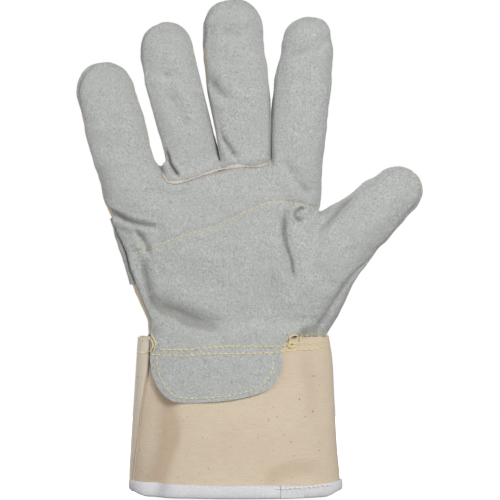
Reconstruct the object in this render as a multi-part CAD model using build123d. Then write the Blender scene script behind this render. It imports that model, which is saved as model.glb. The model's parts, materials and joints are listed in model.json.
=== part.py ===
"""Right-hand safety-cuff work glove: split-leather palm, canvas back, stiff canvas cuff.

The glove stands on its open cuff mouth. +Z runs up towards the fingertips, the palm faces -Y,
and the thumb points to +X. All sizes are in millimetres.
"""

from build123d import *
from functools import lru_cache
import math
import os

# ---------------------------------------------------------------- driving dimensions
LEATHER = 1.4            # split-leather panels
CANVAS = 1.0             # canvas of the hand back, finger backs and cuff
LINING = 0.6             # cotton lining sheets
TAPE = 0.8               # binding tape round the hem
STITCH = 0.45            # how far thread stands off the face it is sewn to
THREAD_WIDTH = 0.9

CUFF_TOP = 90.0          # upper edge of the canvas cuff
HAND_BOTTOM = 93.0       # the thumb's tube stops here, clear of the cuff
TUCK_BOTTOM = 82.0       # lower edge of the hand panels, tucked into the cuff
BINDING_HEIGHT = 9.0
PALM_TOP = 178.0         # roof of the hand between the fingers

# sections of the cuff and of the hand: height, left edge, right edge, depth
WRIST = (94, -56.0, 41.8, 33)
CUFF_SECTIONS = [(0, -64.4, 49.0, 52), (45, -62.4, 45.8, 45), (76, -60.6, 43.6, 38.5), WRIST]
HAND_SECTIONS = [
    WRIST,
    (115, -62.6, 44.0, 33),
    (136, -71.2, 41.6, 34),
    (157, -77.8, 38.8, 33),
    (PALM_TOP, -82.8, 39.6, 28),
]

# each digit: root centre (x, y, z), lean from vertical towards the thumb side in degrees,
# length from the root centre to the tip, half width at the root and at the tip's shoulder,
# depth as a share of the width, distance of the knuckle and of the middle joint from the root,
# and how far each joint bends
DIGITS = {
    "little": dict(root=(-67.2, 0, 180.0), lean=-14.5, length=61.5, half_root=15.6, half_tip=15.6,
                   ratio=0.66, knuckle=14, middle=36, knuckle_bend=80, middle_bend=85),
    "ring": dict(root=(-33.4, 0, 180.0), lean=-12.5, length=83.5, half_root=14.5, half_tip=14.0,
                 ratio=0.69, knuckle=15, middle=52, knuckle_bend=75, middle_bend=85),
    "middle": dict(root=(-3.5, 0, 180.0), lean=-5.2, length=93.7, half_root=14.6, half_tip=15.4,
                   ratio=0.66, knuckle=18, middle=59, knuckle_bend=75, middle_bend=85),
    "index": dict(root=(25.8, 0, 180.0), lean=4.6, length=82.8, half_root=14.0, half_tip=14.0,
                  ratio=0.70, knuckle=18, middle=53, knuckle_bend=80, middle_bend=90),
    "thumb": dict(root=(52.1, -1.5, 141.4), lean=46.0, length=53.6, half_root=19.8, half_tip=13.4,
                  ratio=0.63, knuckle=5, middle=28, knuckle_bend=60, middle_bend=65),
}
ROOT_DEPTH = {"thumb": 46}      # how far a digit's tube runs on into the hand
DEFAULT_ROOT_DEPTH = 22
HINGE_OFFSET = 3.5              # hinge line, towards the palm from the digit's middle plane
SLIT = 0.6                      # half of the flexible strip's height on the back of a joint
WEDGE_MARGIN = 2.0              # degrees of room left when a joint is bent all the way

STRAP_THICKNESS = 1.3
STRAP_BOTTOM, STRAP_TOP = 118.0, 154.0
CAP_THICKNESS = 1.2
CAP_LENGTH = 26.0
ELASTIC_BOTTOM, ELASTIC_TOP = 100.0, 107.0

FAR = 300.0                     # reach of the cutting solids, past the whole glove


# ---------------------------------------------------------------- whole forms
def section_faces(sections, grow):
    """The elliptical sections, each grown outwards; the hand's roof rises by the same amount."""
    faces = []
    for height, left, right, depth in sections:
        rise = grow if height == PALM_TOP else 0
        outline = Ellipse((right - left) / 2 + grow, depth / 2 + grow)
        faces.append(Pos((left + right) / 2, 0, height + rise) * outline)
    return faces


@lru_cache
def body_form(grow):
    """The cuff and hand as one closed form, its skin moved outwards by grow."""
    return loft(section_faces(CUFF_SECTIONS, grow), ruled=True) + loft(section_faces(HAND_SECTIONS, grow))


def digit_place(digit):
    return Location(digit["root"], (0, digit["lean"], 0))


@lru_cache
def digit_form(name, grow):
    """A tapered finger with a rounded tip, flattened from palm to back."""
    digit = DIGITS[name]
    start = -ROOT_DEPTH.get(name, DEFAULT_ROOT_DEPTH)
    slope = (digit["half_tip"] - digit["half_root"]) / (digit["length"] - digit["half_tip"])
    half_start = digit["half_root"] + slope * start + grow
    half_tip = digit["half_tip"] + grow
    tip = digit["length"] + grow
    shoulder = tip - half_tip
    outline = Polyline((0, shoulder), (0, start), (half_start, start), (half_tip, shoulder))
    dome = CenterArc((0, shoulder), half_tip, 0, 90)
    axis_line = Line((0, tip), (0, shoulder))
    profile = make_face(Plane.XZ * (outline + dome + axis_line))
    round_form = revolve(profile, Axis.Z)
    half_depth = digit["ratio"] * max(digit["half_root"], digit["half_tip"]) + grow
    flat_form = scale(round_form, by=(1, half_depth / max(half_start - slope * start, half_tip), 1))
    return digit_place(digit) * flat_form


# ---------------------------------------------------------------- cutting solids
def prism(points):
    """A region drawn as (x, z) points, running right through the glove along Y."""
    face = make_face(Plane.XZ * Polyline(*points, close=True))
    return extrude(face, amount=FAR / 2, both=True)


FRONT = Pos(0, -FAR / 2, FAR / 2) * Box(2 * FAR, FAR, 2 * FAR)
BACK = Pos(0, FAR / 2, FAR / 2) * Box(2 * FAR, FAR, 2 * FAR)


def half_space(name, side):
    """The palm side (-1) or the back (+1) of a digit's middle plane."""
    return Pos(0, DIGITS[name]["root"][1] + side * FAR / 2, FAR / 2) * Box(2 * FAR, FAR, 2 * FAR)


def slab(low, high):
    return Pos(0, 0, (low + high) / 2) * Box(2 * FAR, FAR, high - low)


def joint_edge(joint_bend, up):
    """One edge of a joint's flexible zone as (y, z) points, from the back to the palm side."""
    spread = math.tan(math.radians(joint_bend / 2 + WEDGE_MARGIN))
    palm_reach = 40.0
    return [
        (palm_reach, up * SLIT),
        (-HINGE_OFFSET, up * SLIT),
        (-palm_reach, up * (SLIT + spread * (palm_reach - HINGE_OFFSET))),
    ]


def joint_cutter(name, joint, zone):
    """The part of space above, below or inside the flexible zone of a digit's joint."""
    digit = DIGITS[name]
    bend = digit[joint + "_bend"]
    upper, lower = joint_edge(bend, 1), joint_edge(bend, -1)
    if zone == "inside":
        points = upper + lower[::-1]
    elif zone == "above":
        points = upper + [(upper[-1][0], FAR), (upper[0][0], FAR)]
    else:
        points = lower + [(lower[-1][0], -FAR), (lower[0][0], -FAR)]
    face = make_face(Plane.YZ * Polyline(*points, close=True))
    width = 2 * max(digit["half_root"], digit["half_tip"]) + 8
    return digit_place(digit) * Pos(0, 0, digit[joint]) * extrude(face, amount=width / 2, both=True)


# ---------------------------------------------------------------- seam lines, as (x, z) points
RING_MIDDLE_CROTCH = (-18.05, PALM_TOP)
FINGER_SEAM_LEFT = (-48.0, 174.0)       # just outside the ring finger
FINGER_SEAM_RIGHT = (11.45, 182.0)      # between the middle and index fingers
WELT_HEIGHT = 1.6

PALM_LINE = [(-58, 136), (-40, 142), (-20, 149.5), (0, 158.5), (11, 162)]
THUMB_SEAM = [(35.5, 158.5), (20, 157.5), (20, 138), (25, 118), (37, 100), (47, 96)]
THUMB_BACK_SEAM = [(35.5, 158.5), (30, 150), (36, 126), (42, 100), (47, 96)]

TONGUE_LEFT, TONGUE_RIGHT = -55.0, 16.5
TONGUE_BOTTOM = 52.5
TONGUE_RADIUS = 20.0
TONGUE_SEAM_INSET = 4.0
UPPER_ROW, LOWER_ROW = 85.6, 81.2


def build_region(points, margin=6.0):
    """The region to the thumb side of a seam drawn from the crotch down to the wrist."""
    first, last = points[0], points[-1]
    outer = [(last[0] + 60, last[1] - margin), (first[0] + 60, first[1] + 40), (first[0] + 1, first[1] + 1)]
    return prism(points + outer)


def ring_middle_region(lift):
    """Everything above the finger seam, between the little and index fingers' crotches."""
    left, right = FINGER_SEAM_LEFT, FINGER_SEAM_RIGHT
    return prism([(left[0], left[1] + lift), (right[0], right[1] + lift), (right[0], FAR), (left[0] - 24, FAR)])


def side_region(side):
    """The little-finger side (-1) or thumb side (+1) of the ring/middle crotch."""
    x, z = RING_MIDDLE_CROTCH
    lean = math.radians((DIGITS["ring"]["lean"] + DIGITS["middle"]["lean"]) / 2)
    foot, head = (x - 60 * math.tan(lean), z - 60), (x + 120 * math.tan(lean), z + 120)
    return prism([foot, head, (head[0] + side * FAR, head[1]), (foot[0] + side * FAR, foot[1])])


def tongue_plate(inset):
    """The rounded outline of the pulse protector, drawn inset from its edge, as a deep plate."""
    left, right, bottom = TONGUE_LEFT + inset, TONGUE_RIGHT - inset, TONGUE_BOTTOM + inset
    top = CUFF_TOP + LEATHER
    corner = TONGUE_RADIUS - inset
    sides = FilletPolyline((left, top), (left, bottom), (right, bottom), (right, top), radius=corner)
    outline = make_face(Plane.XZ * (sides + Line((right, top), (left, top))))
    return extrude(outline, amount=FAR / 2, dir=(0, -1, 0))


# ---------------------------------------------------------------- thread lines
def thread_line(points, skin):
    """A seam's thread as one narrow band along a path of (x, z) points, cut from a thin skin."""
    rise = THREAD_WIDTH / 2
    lower = [(x, z - rise) for x, z in points]
    upper = [(x, z + rise) for x, z in reversed(points)]
    return skin & prism(lower + upper)


# ---------------------------------------------------------------- nodes
def solid_parts(shape, smallest=5.0):
    """The shape's solids, without slivers."""
    solids = [piece for piece in shape.solids() if piece.volume > smallest]
    return solids[0] if len(solids) == 1 else Compound(children=solids)


def digit_nodes(name):
    """Front, back and flexible parts of a digit beyond its knuckle."""
    outer = digit_form(name, 0)
    halves = {
        "front": (outer - digit_form(name, -LEATHER)) & half_space(name, -1),
        "back": (outer - digit_form(name, -CANVAS)) & half_space(name, 1),
    }
    past_knuckle = joint_cutter(name, "knuckle", "above")
    before_middle = joint_cutter(name, "middle", "below")
    past_middle = joint_cutter(name, "middle", "above")
    nodes = {}
    for half, shell in halves.items():
        nodes[f"{name}_lower_{half}"] = shell & past_knuckle & before_middle
        nodes[f"{name}_upper_{half}"] = shell & past_middle
    shell = halves["front"] + halves["back"]
    nodes[f"{name}_middle_flex"] = shell & joint_cutter(name, "middle", "inside")
    nodes[f"{name}_knuckle_flex"] = shell & joint_cutter(name, "knuckle", "inside")
    return nodes


def fingertip_cap(name):
    skin = digit_form(name, CAP_THICKNESS) - digit_form(name, 0)
    length = DIGITS[name]["length"]
    reach = digit_place(DIGITS[name]) * Pos(0, 0, length) * Box(60, 60, 2 * CAP_LENGTH)
    return skin & half_space(name, 1) & reach


def hand_form(grow, cut_at_knuckles):
    """The palm, finger roots and thumb root as one closed form."""
    form = body_form(grow)
    for name in DIGITS:
        tube = digit_form(name, grow) & slab(HAND_BOTTOM, FAR)
        if cut_at_knuckles:
            tube = tube & joint_cutter(name, "knuckle", "below")
        form = form + tube
    return form


def hand_nodes():
    above_tuck = slab(TUCK_BOTTOM, FAR)
    outer = hand_form(0, True)
    front = (outer - hand_form(-LEATHER, False)) & FRONT & above_tuck
    back = (outer - hand_form(-CANVAS, False)) & BACK & above_tuck

    seam_region = ring_middle_region(0)
    base_region = ring_middle_region(WELT_HEIGHT)
    thumb_region = build_region(THUMB_SEAM)
    thumb_back_region = build_region(THUMB_BACK_SEAM)
    finger_bases = front & base_region
    index_edge = FINGER_SEAM_RIGHT[0]
    index_region = prism([(index_edge, STRAP_TOP), (FAR, STRAP_TOP), (FAR, FAR), (index_edge, FAR)])

    nodes = {}
    nodes["ring_front_base"] = finger_bases & side_region(-1)
    nodes["middle_front_base"] = finger_bases & side_region(1)
    nodes["finger_seam_welt"] = front & seam_region - base_region
    nodes["thumb_front_base"] = front & thumb_region
    nodes["thumb_back_base"] = back & thumb_back_region
    nodes["index_back_base"] = (back - thumb_back_region) & index_region
    nodes["hand_back"] = back - thumb_back_region - index_region
    nodes["palm_panel"] = add_tongue(front - seam_region - thumb_region)
    return nodes


def add_tongue(panel):
    """The palm leather passes out over the cuff and ends in the rounded pulse protector."""
    over_cuff = CANVAS + LEATHER
    plate = tongue_plate(0)
    tongue = (body_form(over_cuff) - body_form(CANVAS)) & plate & slab(0, CUFF_TOP)
    ledge = (body_form(over_cuff) - body_form(0)) & plate & slab(CUFF_TOP, CUFF_TOP + LEATHER)
    tucked = plate & slab(0, CUFF_TOP)
    return (panel - tucked) + tongue + ledge


def cuff_nodes():
    skin = body_form(CANVAS) - body_form(0)
    panel = skin & slab(TAPE, CUFF_TOP)
    side_seam = prism([(-FAR, -1), (-62.7, -1), (-55.5, CUFF_TOP + 1), (-FAR, CUFF_TOP + 1)])
    lining = (body_form(0) - body_form(-LINING)) & slab(TAPE, TUCK_BOTTOM)
    wrap = (body_form(CANVAS + TAPE) - body_form(-LINING - TAPE)) & slab(0, BINDING_HEIGHT)
    held = (body_form(CANVAS) - body_form(-LINING)) & slab(TAPE, BINDING_HEIGHT)
    return {
        "cuff_front": (panel & FRONT) - side_seam,
        "cuff_back": (panel & BACK) + (panel & FRONT & side_seam),
        "cuff_lining": lining,
        "cuff_binding": wrap - held,
    }


def trim_nodes():
    """The strap across the back, the lining and the elastic."""
    thumb = digit_form("thumb", 0)
    strap = (body_form(STRAP_THICKNESS) - body_form(0)) & BACK & slab(STRAP_BOTTOM, STRAP_TOP)
    lining = (body_form(-LEATHER) - body_form(-LEATHER - LINING)) & FRONT & slab(93, 160)
    elastic = (body_form(-CANVAS) - body_form(-2 * CANVAS)) & BACK & slab(ELASTIC_BOTTOM, ELASTIC_TOP)
    elastic_span = Pos(-8, 0, ELASTIC_BOTTOM) * Box(62, FAR, FAR)
    return {
        "knuckle_strap": strap - thumb,
        "palm_lining": lining - digit_form("thumb", -LEATHER),
        "wrist_elastic": elastic & elastic_span,
    }


def thread_nodes():
    """Every row of sewing thread that shows on the outside."""
    on_palm = (body_form(STITCH) - body_form(0)) & FRONT
    on_tongue = (body_form(CANVAS + LEATHER + STITCH) - body_form(CANVAS + LEATHER)) & FRONT
    on_cuff = body_form(CANVAS + STITCH) - body_form(CANVAS)
    on_strap = (body_form(STRAP_THICKNESS + STITCH) - body_form(STRAP_THICKNESS)) & BACK
    nodes = {
        "palm_line_thread": thread_line(PALM_LINE, on_palm),
        "tongue_thread": on_tongue & (tongue_plate(TONGUE_SEAM_INSET) - tongue_plate(TONGUE_SEAM_INSET + THREAD_WIDTH))
        & slab(0, LOWER_ROW - 3),
    }
    for label, height in (("upper", UPPER_ROW), ("lower", LOWER_ROW)):
        band = slab(height - THREAD_WIDTH / 2, height + THREAD_WIDTH / 2)
        under_tongue = tongue_plate(0)
        nodes[f"cuff_seam_{label}_thread"] = ((on_cuff & band) - under_tongue) + (on_tongue & band & under_tongue)
    for label, height in (("lower", STRAP_BOTTOM + 2.5), ("upper", STRAP_TOP - 2.5)):
        band = slab(height - THREAD_WIDTH / 2, height + THREAD_WIDTH / 2)
        nodes[f"strap_thread_{label}"] = on_strap & band & Pos(-22, 0, height) * Box(72, FAR, FAR)
    return nodes


def all_nodes():
    nodes = hand_nodes()
    nodes.update(cuff_nodes())
    nodes.update(trim_nodes())
    nodes.update(thread_nodes())
    for name in DIGITS:
        nodes.update(digit_nodes(name))
    for name in ("little", "ring", "middle"):
        nodes[f"{name}_fingertip_cap"] = fingertip_cap(name)
    return nodes


os.makedirs("parts", exist_ok=True)
for node, shape in all_nodes().items():
    export_step(solid_parts(shape), f"parts/{node}.step")
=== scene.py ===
"""Right-hand safety-cuff work glove: split-leather palm, canvas back, stiff canvas cuff.

The glove stands on its cuff with the palm facing -Y and the thumb to +X. Shapes are worked out in
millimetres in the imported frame, and become Blender meshes in metres. The hand is one smooth skin,
grown from rounded forms, creased and puckered, then split along its seams into the real panels.
"""

import json
import math

import bpy
import numpy as np
import openvdb
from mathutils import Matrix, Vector
from mathutils.bvhtree import BVHTree


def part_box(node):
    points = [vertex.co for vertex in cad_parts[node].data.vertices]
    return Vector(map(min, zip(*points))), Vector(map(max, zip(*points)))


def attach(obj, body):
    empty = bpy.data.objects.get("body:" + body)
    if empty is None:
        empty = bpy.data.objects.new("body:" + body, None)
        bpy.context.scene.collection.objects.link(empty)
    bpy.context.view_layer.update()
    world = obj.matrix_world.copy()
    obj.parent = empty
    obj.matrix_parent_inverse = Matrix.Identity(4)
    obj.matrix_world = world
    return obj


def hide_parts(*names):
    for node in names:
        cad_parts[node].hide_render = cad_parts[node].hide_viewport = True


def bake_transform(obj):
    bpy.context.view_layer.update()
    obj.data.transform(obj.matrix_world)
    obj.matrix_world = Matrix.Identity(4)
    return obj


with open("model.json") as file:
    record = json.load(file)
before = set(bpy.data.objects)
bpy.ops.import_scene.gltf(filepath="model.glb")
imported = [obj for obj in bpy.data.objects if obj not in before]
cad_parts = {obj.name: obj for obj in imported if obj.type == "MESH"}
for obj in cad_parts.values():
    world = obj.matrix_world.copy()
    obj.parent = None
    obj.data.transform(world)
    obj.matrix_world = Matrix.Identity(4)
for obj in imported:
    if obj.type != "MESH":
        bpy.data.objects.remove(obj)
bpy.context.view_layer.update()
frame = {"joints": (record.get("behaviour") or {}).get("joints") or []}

MM = 0.001


def box_of(*nodes):
    """Lowest and highest corners of CAD nodes together, in millimetres."""
    boxes = np.array([[tuple(corner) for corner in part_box(node)] for node in nodes]) / MM
    return boxes[:, 0].min(axis=0), boxes[:, 1].max(axis=0)


# ------------ sizes, in millimetres
LEATHER = 1.3
CANVAS = 0.9
THICKNESS = {"split_leather": LEATHER, "canvas": CANVAS}
CELL = 1.0                      # edge of the cells that the skin is grown in
JOINT_REACH = 12.0              # how far a hinge's zone reaches to each side of it
INSET = 2.4                     # how far the hand's tucked edge stands inside the cuff

CUFF_LOW, CUFF_HIGH = box_of("cuff_front", "cuff_back")
PALM_LOW, PALM_HIGH = box_of("palm_panel")
ELASTIC_LOW, ELASTIC_HIGH = box_of("wrist_elastic")
STRAP_LOW, STRAP_HIGH = (corner[2] for corner in box_of("knuckle_strap"))     # heights only
CUFF_TOP = CUFF_HIGH[2] - 0.5               # the upper edge of the cuff's front canvas
TUCK = box_of("hand_back")[0][2] + 1.0      # the hand's lower edge, inside the cuff

# each finger's outline: distance from the root along its axis, sideways offset, half width, half depth
OUTLINES = {
    "little": [(-26, 1.5, 14.5, 10), (0, 0.2, 16.0, 10.5), (14, -0.3, 16.2, 10.5), (38, -0.4, 16.1, 10.3),
               (60.5, 0.0, 15.5, 9.8)],
    "ring": [(-26, 2.8, 14.5, 10), (0, 2.8, 14.6, 10.8), (20, 2.2, 15.2, 10.8), (42, 1.4, 15.6, 10.6),
             (62, 1.8, 14.9, 10.2), (81.4, 3.4, 13.6, 9.6)],
    "middle": [(-26, 2.0, 15.0, 10), (0, 1.6, 14.8, 11), (22, 1.8, 15.9, 11), (46, 1.2, 16.5, 10.8),
               (72, 1.1, 16.4, 10.4), (93.6, 1.6, 15.2, 9.8)],
    "index": [(-26, -1.5, 14.5, 10), (0, -1.0, 15.0, 10.8), (26, -0.8, 15.1, 10.8), (48, -0.4, 14.9, 10.4),
              (64, 0.1, 13.9, 10.0), (83.9, 1.2, 13.0, 9.4)],
    "thumb": [(-66, 4.0, 24.0, 6), (-48, 2.6, 26.5, 11), (-28, 1.0, 24.2, 14), (-8, -1.0, 19.6, 13.5),
              (8, -1.2, 17.3, 12.2), (24, -0.6, 15.6, 11), (36, 0.2, 13.5, 10), (52.8, 1.2, 11.5, 9)],
}
# y where each digit's front panel meets its back: at its left edge and at its right edge, each near the
# root and at the tip (less than 0 is towards the palm side)
SIDE_SEAMS = {
    "little": ((-1.5, -4.6), (2.0, 1.0)),
    "ring": ((-1.2, -3.4), (2.0, 1.5)),
    "middle": ((-0.8, -3.4), (2.0, 1.5)),
    "index": ((1.5, 1.0), (1.5, 0.5)),
    "thumb": ((2.0, 1.0), (-5.0, -5.5)),
}
TIP_POWER = 2.2                 # how square a fingertip is
TIP_SHARE = 1.12                # length of the rounded tip, in half widths
FOOT = 14.0                     # length of the rounding where a digit's form ends inside the palm

# how far the cuff stands inside the box of the CAD cuff: height, at the left, at the right, in depth
CUFF_INSETS = [
    (0, 0.95, 0.55, 1.95),
    (12, 0.95, 0.45, 2.35),
    (30, 1.85, 1.95, 3.55),
    (50, 3.05, 3.75, 5.35),
    (72, 4.25, 5.05, 7.55),
    (90, 5.35, 6.75, 9.35),
]
# the cuff's outline: height, left edge, right edge, half depth
CUFF = [(z, CUFF_LOW[0] + left, CUFF_HIGH[0] - right, CUFF_HIGH[1] - depth)
        for z, left, right, depth in CUFF_INSETS]
# the hand above the cuff: height, how far it stands inside the box of the CAD palm at the left and at the
# right (less than 0 is outside), half depth to the palm side and to the back
PALM_INSETS = [
    (84, 27.35, 2.0, 15.6, 15.6),
    (90, 30.25, 1.4, 15.2, 15.2),
    (96, 30.45, -1.0, 15.4, 15.4),
    (104, 27.05, -5.0, 15.6, 16.0),
    (116, 22.7, -3.5, 16.0, 16.5),
    (134, 16.6, 1.0, 16.0, 17.0),
    (151, 11.8, 7.5, 15.5, 17.0),
    (168, 7.0, 7.4, 14.5, 15.5),
    (184, 3.1, 4.2, 12.0, 12.0),
]
# the palm's outline, tucked edge included: height, left edge, right edge, half depth to the palm side and
# to the back
PALM = [(z, left + INSET, right - INSET, depth - INSET, depth - INSET) for z, left, right, depth in CUFF[3:5]]
PALM += [(z, PALM_LOW[0] + left, PALM_HIGH[0] - right, front, back)
         for z, left, right, front, back in PALM_INSETS]
PALM_ROOF = 181.5               # height where the palm's own form ends, among the fingers' roots
ROOF_LENGTH = 22.0              # length over which it closes up to there
ROOF_POWER = 1.5
SQUARENESS = 2.35               # of every cross-section


# ------------ the digits' own axes
class Digit:
    """A finger's or the thumb's frame, read from its two hinges."""

    def __init__(self, name, hinges):
        knuckle, middle = hinges
        self.name = name
        self.knuckle = np.array(knuckle["pos_m"]) / MM
        self.middle = np.array(middle["pos_m"]) / MM
        self.side = np.array(knuckle["axis"])
        self.up = np.cross(self.side, [0, 1, 0])
        if self.up[2] < 0:
            self.up = -self.up
        self.knuckle_s = ROOT_TO_KNUCKLE[name]
        self.root = self.knuckle - self.up * self.knuckle_s
        self.root[1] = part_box(f"{name}_lower_front")[1].y / MM
        self.middle_s = self.knuckle_s + float((self.middle - self.knuckle) @ self.up)
        reach = min(JOINT_REACH, (self.middle_s - self.knuckle_s) / 2 - 1)
        self.knuckle_zone = (max(self.knuckle_s - reach, FIRST_BEND[name]), self.knuckle_s + reach)
        self.middle_zone = (self.middle_s - reach, self.middle_s + reach)
        self.cut = (self.knuckle_zone[1] + self.middle_zone[0]) / 2
        self.tip = OUTLINES[name][-1][0]

    def local(self, points):
        """Sideways, depth and lengthways coordinates of points, from the digit's root."""
        offset = points - self.root
        return offset @ self.side, offset[..., 1], offset @ self.up

    def point(self, s):
        """The point on the digit's axis at s."""
        return self.root + self.up * s


# along each digit's axis: from its root to its first hinge, and the lowest place where the zone round its
# first hinge may start
ROOT_TO_KNUCKLE = {"little": 14, "ring": 15, "middle": 18, "index": 18, "thumb": 5}
FIRST_BEND = {"little": 3.5, "ring": 6.5, "middle": 6, "index": 6, "thumb": 3.6}
DIGITS = {name: Digit(name, [joint for joint in frame["joints"] if joint["name"].startswith(name)])
          for name in OUTLINES}


# ------------ smooth curves through stations
def through(stations, column, at):
    """A smooth curve through one column of a list of stations, whose first column is the place."""
    places = np.array([row[0] for row in stations], float)
    values = np.array([row[column] for row in stations], float)
    slopes = np.gradient(values, places)
    at = np.clip(at, places[0], places[-1])
    cell = np.clip(np.searchsorted(places, at) - 1, 0, len(places) - 2)
    width = places[cell + 1] - places[cell]
    t = (at - places[cell]) / width
    h00, h10 = (1 + 2 * t) * (1 - t) ** 2, t * (1 - t) ** 2
    h01, h11 = t * t * (3 - 2 * t), t * t * (t - 1)
    return (h00 * values[cell] + h10 * width * slopes[cell]
            + h01 * values[cell + 1] + h11 * width * slopes[cell + 1])


def ease(low, high, value):
    """Smooth step from 0 at low to 1 at high."""
    t = np.clip((value - low) / (high - low), 0, 1)
    return t * t * (3 - 2 * t)


# ------------ the hand's form
LEAST_STEEPNESS = 0.02          # keeps a form's level middle from counting as far away


def as_distance(form):
    """Turns a form that is 0 on its surface into roughly the distance from it, in millimetres."""
    steep = np.sqrt(sum(g * g for g in np.gradient(form, CELL)))
    return form / np.maximum(steep, LEAST_STEEPNESS)


def superellipse(u, v, half_width, half_depth, end):
    """A form that is 0 on a rounded section, which closes up as end rises from 0 to 1."""
    section = (np.abs(u) / half_width) ** SQUARENESS + (np.abs(v) / half_depth) ** SQUARENESS
    return (section + end ** TIP_POWER) ** (1 / SQUARENESS) - 1


def digit_form(digit, points):
    u, v, s = digit.local(points)
    outline = OUTLINES[digit.name]
    centre, half, depth = (through(outline, column, s) for column in (1, 2, 3))
    rounding = TIP_SHARE * outline[-1][2]
    head = np.clip((s - (digit.tip - rounding)) / rounding, 0, None)
    foot = np.clip((outline[0][0] + FOOT - s) / FOOT, 0, None)
    return superellipse(u - centre, v, half, depth, head + foot)


def palm_form(points):
    x, y, z = points[..., 0], points[..., 1], points[..., 2]
    left, right, front, back = (through(PALM, column, z) for column in (1, 2, 3, 4))
    depth = np.where(y < 0, front, back)
    roof = np.clip((z - (PALM_ROOF - ROOF_LENGTH)) / ROOF_LENGTH, 0, None)
    return superellipse(x - (left + right) / 2, y, (right - left) / 2, depth, roof ** ROOF_POWER)


def soft_union(a, b, soft):
    """Two distances as one, rounded off over about soft millimetres where the forms meet."""
    h = np.clip(0.5 + 0.5 * (b - a) / soft, 0, 1)
    return b + (a - b) * h - soft * h * (1 - h)


# the gaps between neighbouring digits: crotch (x, z), lean in degrees, half width as cut, half width once
# closed up
GAPS = {
    ("little", "ring"): ((-46.9, 182.6), -14.4, 2.0, 2.0),
    ("ring", "middle"): ((-15.8, 185.8), -12.0, 0.9, 0.5),
    ("middle", "index"): ((11.9, 185.4), -0.4, 0.8, 0.1),
    ("index", "thumb"): ((37.4, 157.5), 24.0, 0.0, 0.0),
}


def in_gap(pair, points):
    """Distance of points from a gap's middle, positive towards the thumb, and above its crotch."""
    (crotch_x, crotch_z), lean, _, _ = GAPS[pair]
    turn = math.radians(lean)
    x, z = points[..., 0] - crotch_x, points[..., 2] - crotch_z
    return x * math.cos(turn) - z * math.sin(turn), x * math.sin(turn) + z * math.cos(turn)


def digit_owner(points):
    """Index of the digit whose share of the hand, between the gaps, holds each point."""
    return sum((in_gap(pair, points)[0] > 0).astype(int) for pair in GAPS)


GROWN_LOW = np.array([-100.0, -30.0, 46.0])
GROWN_HIGH = np.array([100.0, 30.0, 280.0])
HAND_FOOT = 50.0                # height where the grown form is cut off, below the tucked edge
BAND = 6.0                      # distances from the skin count only up to this
FINGER_BLEND = 7.0              # softness where the fingers grow out of the palm
THUMB_BLEND = 5.0


def grow_hand():
    """The hand as a mesh: vertices and triangles."""
    axes = [np.arange(low, high, CELL) for low, high in zip(GROWN_LOW, GROWN_HIGH)]
    points = np.stack(np.meshgrid(*axes, indexing="ij"), axis=-1)
    hand = as_distance(palm_form(points))
    *fingers, thumb = (as_distance(digit_form(digit, points)) for digit in DIGITS.values())
    hand = soft_union(hand, np.minimum.reduce(fingers), FINGER_BLEND)
    hand = soft_union(hand, thumb, THUMB_BLEND)
    for pair, (_, _, half_gap, _) in GAPS.items():
        if half_gap > 0:
            side, above = in_gap(pair, points)
            notch = np.maximum(np.abs(side) - half_gap, -above)
            hand = np.maximum(hand, -notch)
    hand = np.maximum(hand, HAND_FOOT - points[..., 2])
    grid = openvdb.FloatGrid(BAND)
    grid.copyFromArray(np.clip(hand, -BAND, BAND).astype(np.float32))
    verts, tris, quads = grid.convertToPolygons(0.0, 0.0)
    verts = verts.astype(float) * CELL + GROWN_LOW
    quads = quads.astype(np.int64)
    tris = np.concatenate([tris.astype(np.int64).reshape(-1, 3), quads[:, [0, 1, 2]], quads[:, [0, 2, 3]]])
    return close_gaps(relax(verts, tris, 4)), tris


def close_gaps(verts):
    """Brings the two walls of each narrow gap together, so that the fingers touch."""
    for pair, (_, lean, cut_half, closed_half) in GAPS.items():
        if cut_half > closed_half:
            side, above = in_gap(pair, verts)
            near = ease(cut_half + 2.2, cut_half + 0.4, np.abs(side)) * ease(-1.5, 1.0, above)
            left_open = closed_half * ease(7, 16, above)
            shift = -np.sign(side) * np.minimum((cut_half - left_open) * near, np.abs(side) * 0.93)
            turn = math.radians(lean)
            verts = verts + shift[:, None] * np.array([math.cos(turn), 0, -math.sin(turn)])
    return verts


# ------------ meshes as arrays
SMOOTHING = 0.5                 # share of the way that relax moves a vertex to its neighbours' middle
SWELLING = -0.52


def edges_of(tris):
    """Every triangle's edges, each in its own direction."""
    return np.concatenate([tris[:, [0, 1]], tris[:, [1, 2]], tris[:, [2, 0]]])


def relax(verts, tris, rounds):
    """Evens out a mesh without shrinking it: each smoothing step is followed by one that swells."""
    edges = np.unique(np.sort(edges_of(tris), axis=1), axis=0)
    count = np.zeros(len(verts))
    np.add.at(count, edges.ravel(), 1)
    for step in range(2 * rounds):
        total = np.zeros_like(verts)
        np.add.at(total, edges[:, 0], verts[edges[:, 1]])
        np.add.at(total, edges[:, 1], verts[edges[:, 0]])
        pull = total / count[:, None] - verts
        verts = verts + pull * (SMOOTHING if step % 2 == 0 else SWELLING)
    return verts


def normals_of(verts, tris):
    """Each vertex's normal, from the triangles round it."""
    a, b, c = (verts[tris[:, i]] for i in range(3))
    face = np.cross(b - a, c - a)
    normals = np.zeros_like(verts)
    for i in range(3):
        np.add.at(normals, tris[:, i], face)
    return normals / np.maximum(np.linalg.norm(normals, axis=1, keepdims=True), 1e-9)


def grid_triangles(rows, wide, closed):
    """Triangles of a grid of rows + 1 lines of wide points each, joined end to end where closed."""
    row, col = np.meshgrid(np.arange(rows), np.arange(wide if closed else wide - 1), indexing="ij")
    p = row * wide + col
    q = row * wide + (col + 1) % wide
    return np.concatenate([np.stack([p, q, q + wide], -1).reshape(-1, 3),
                           np.stack([p, q + wide, p + wide], -1).reshape(-1, 3)])


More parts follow.
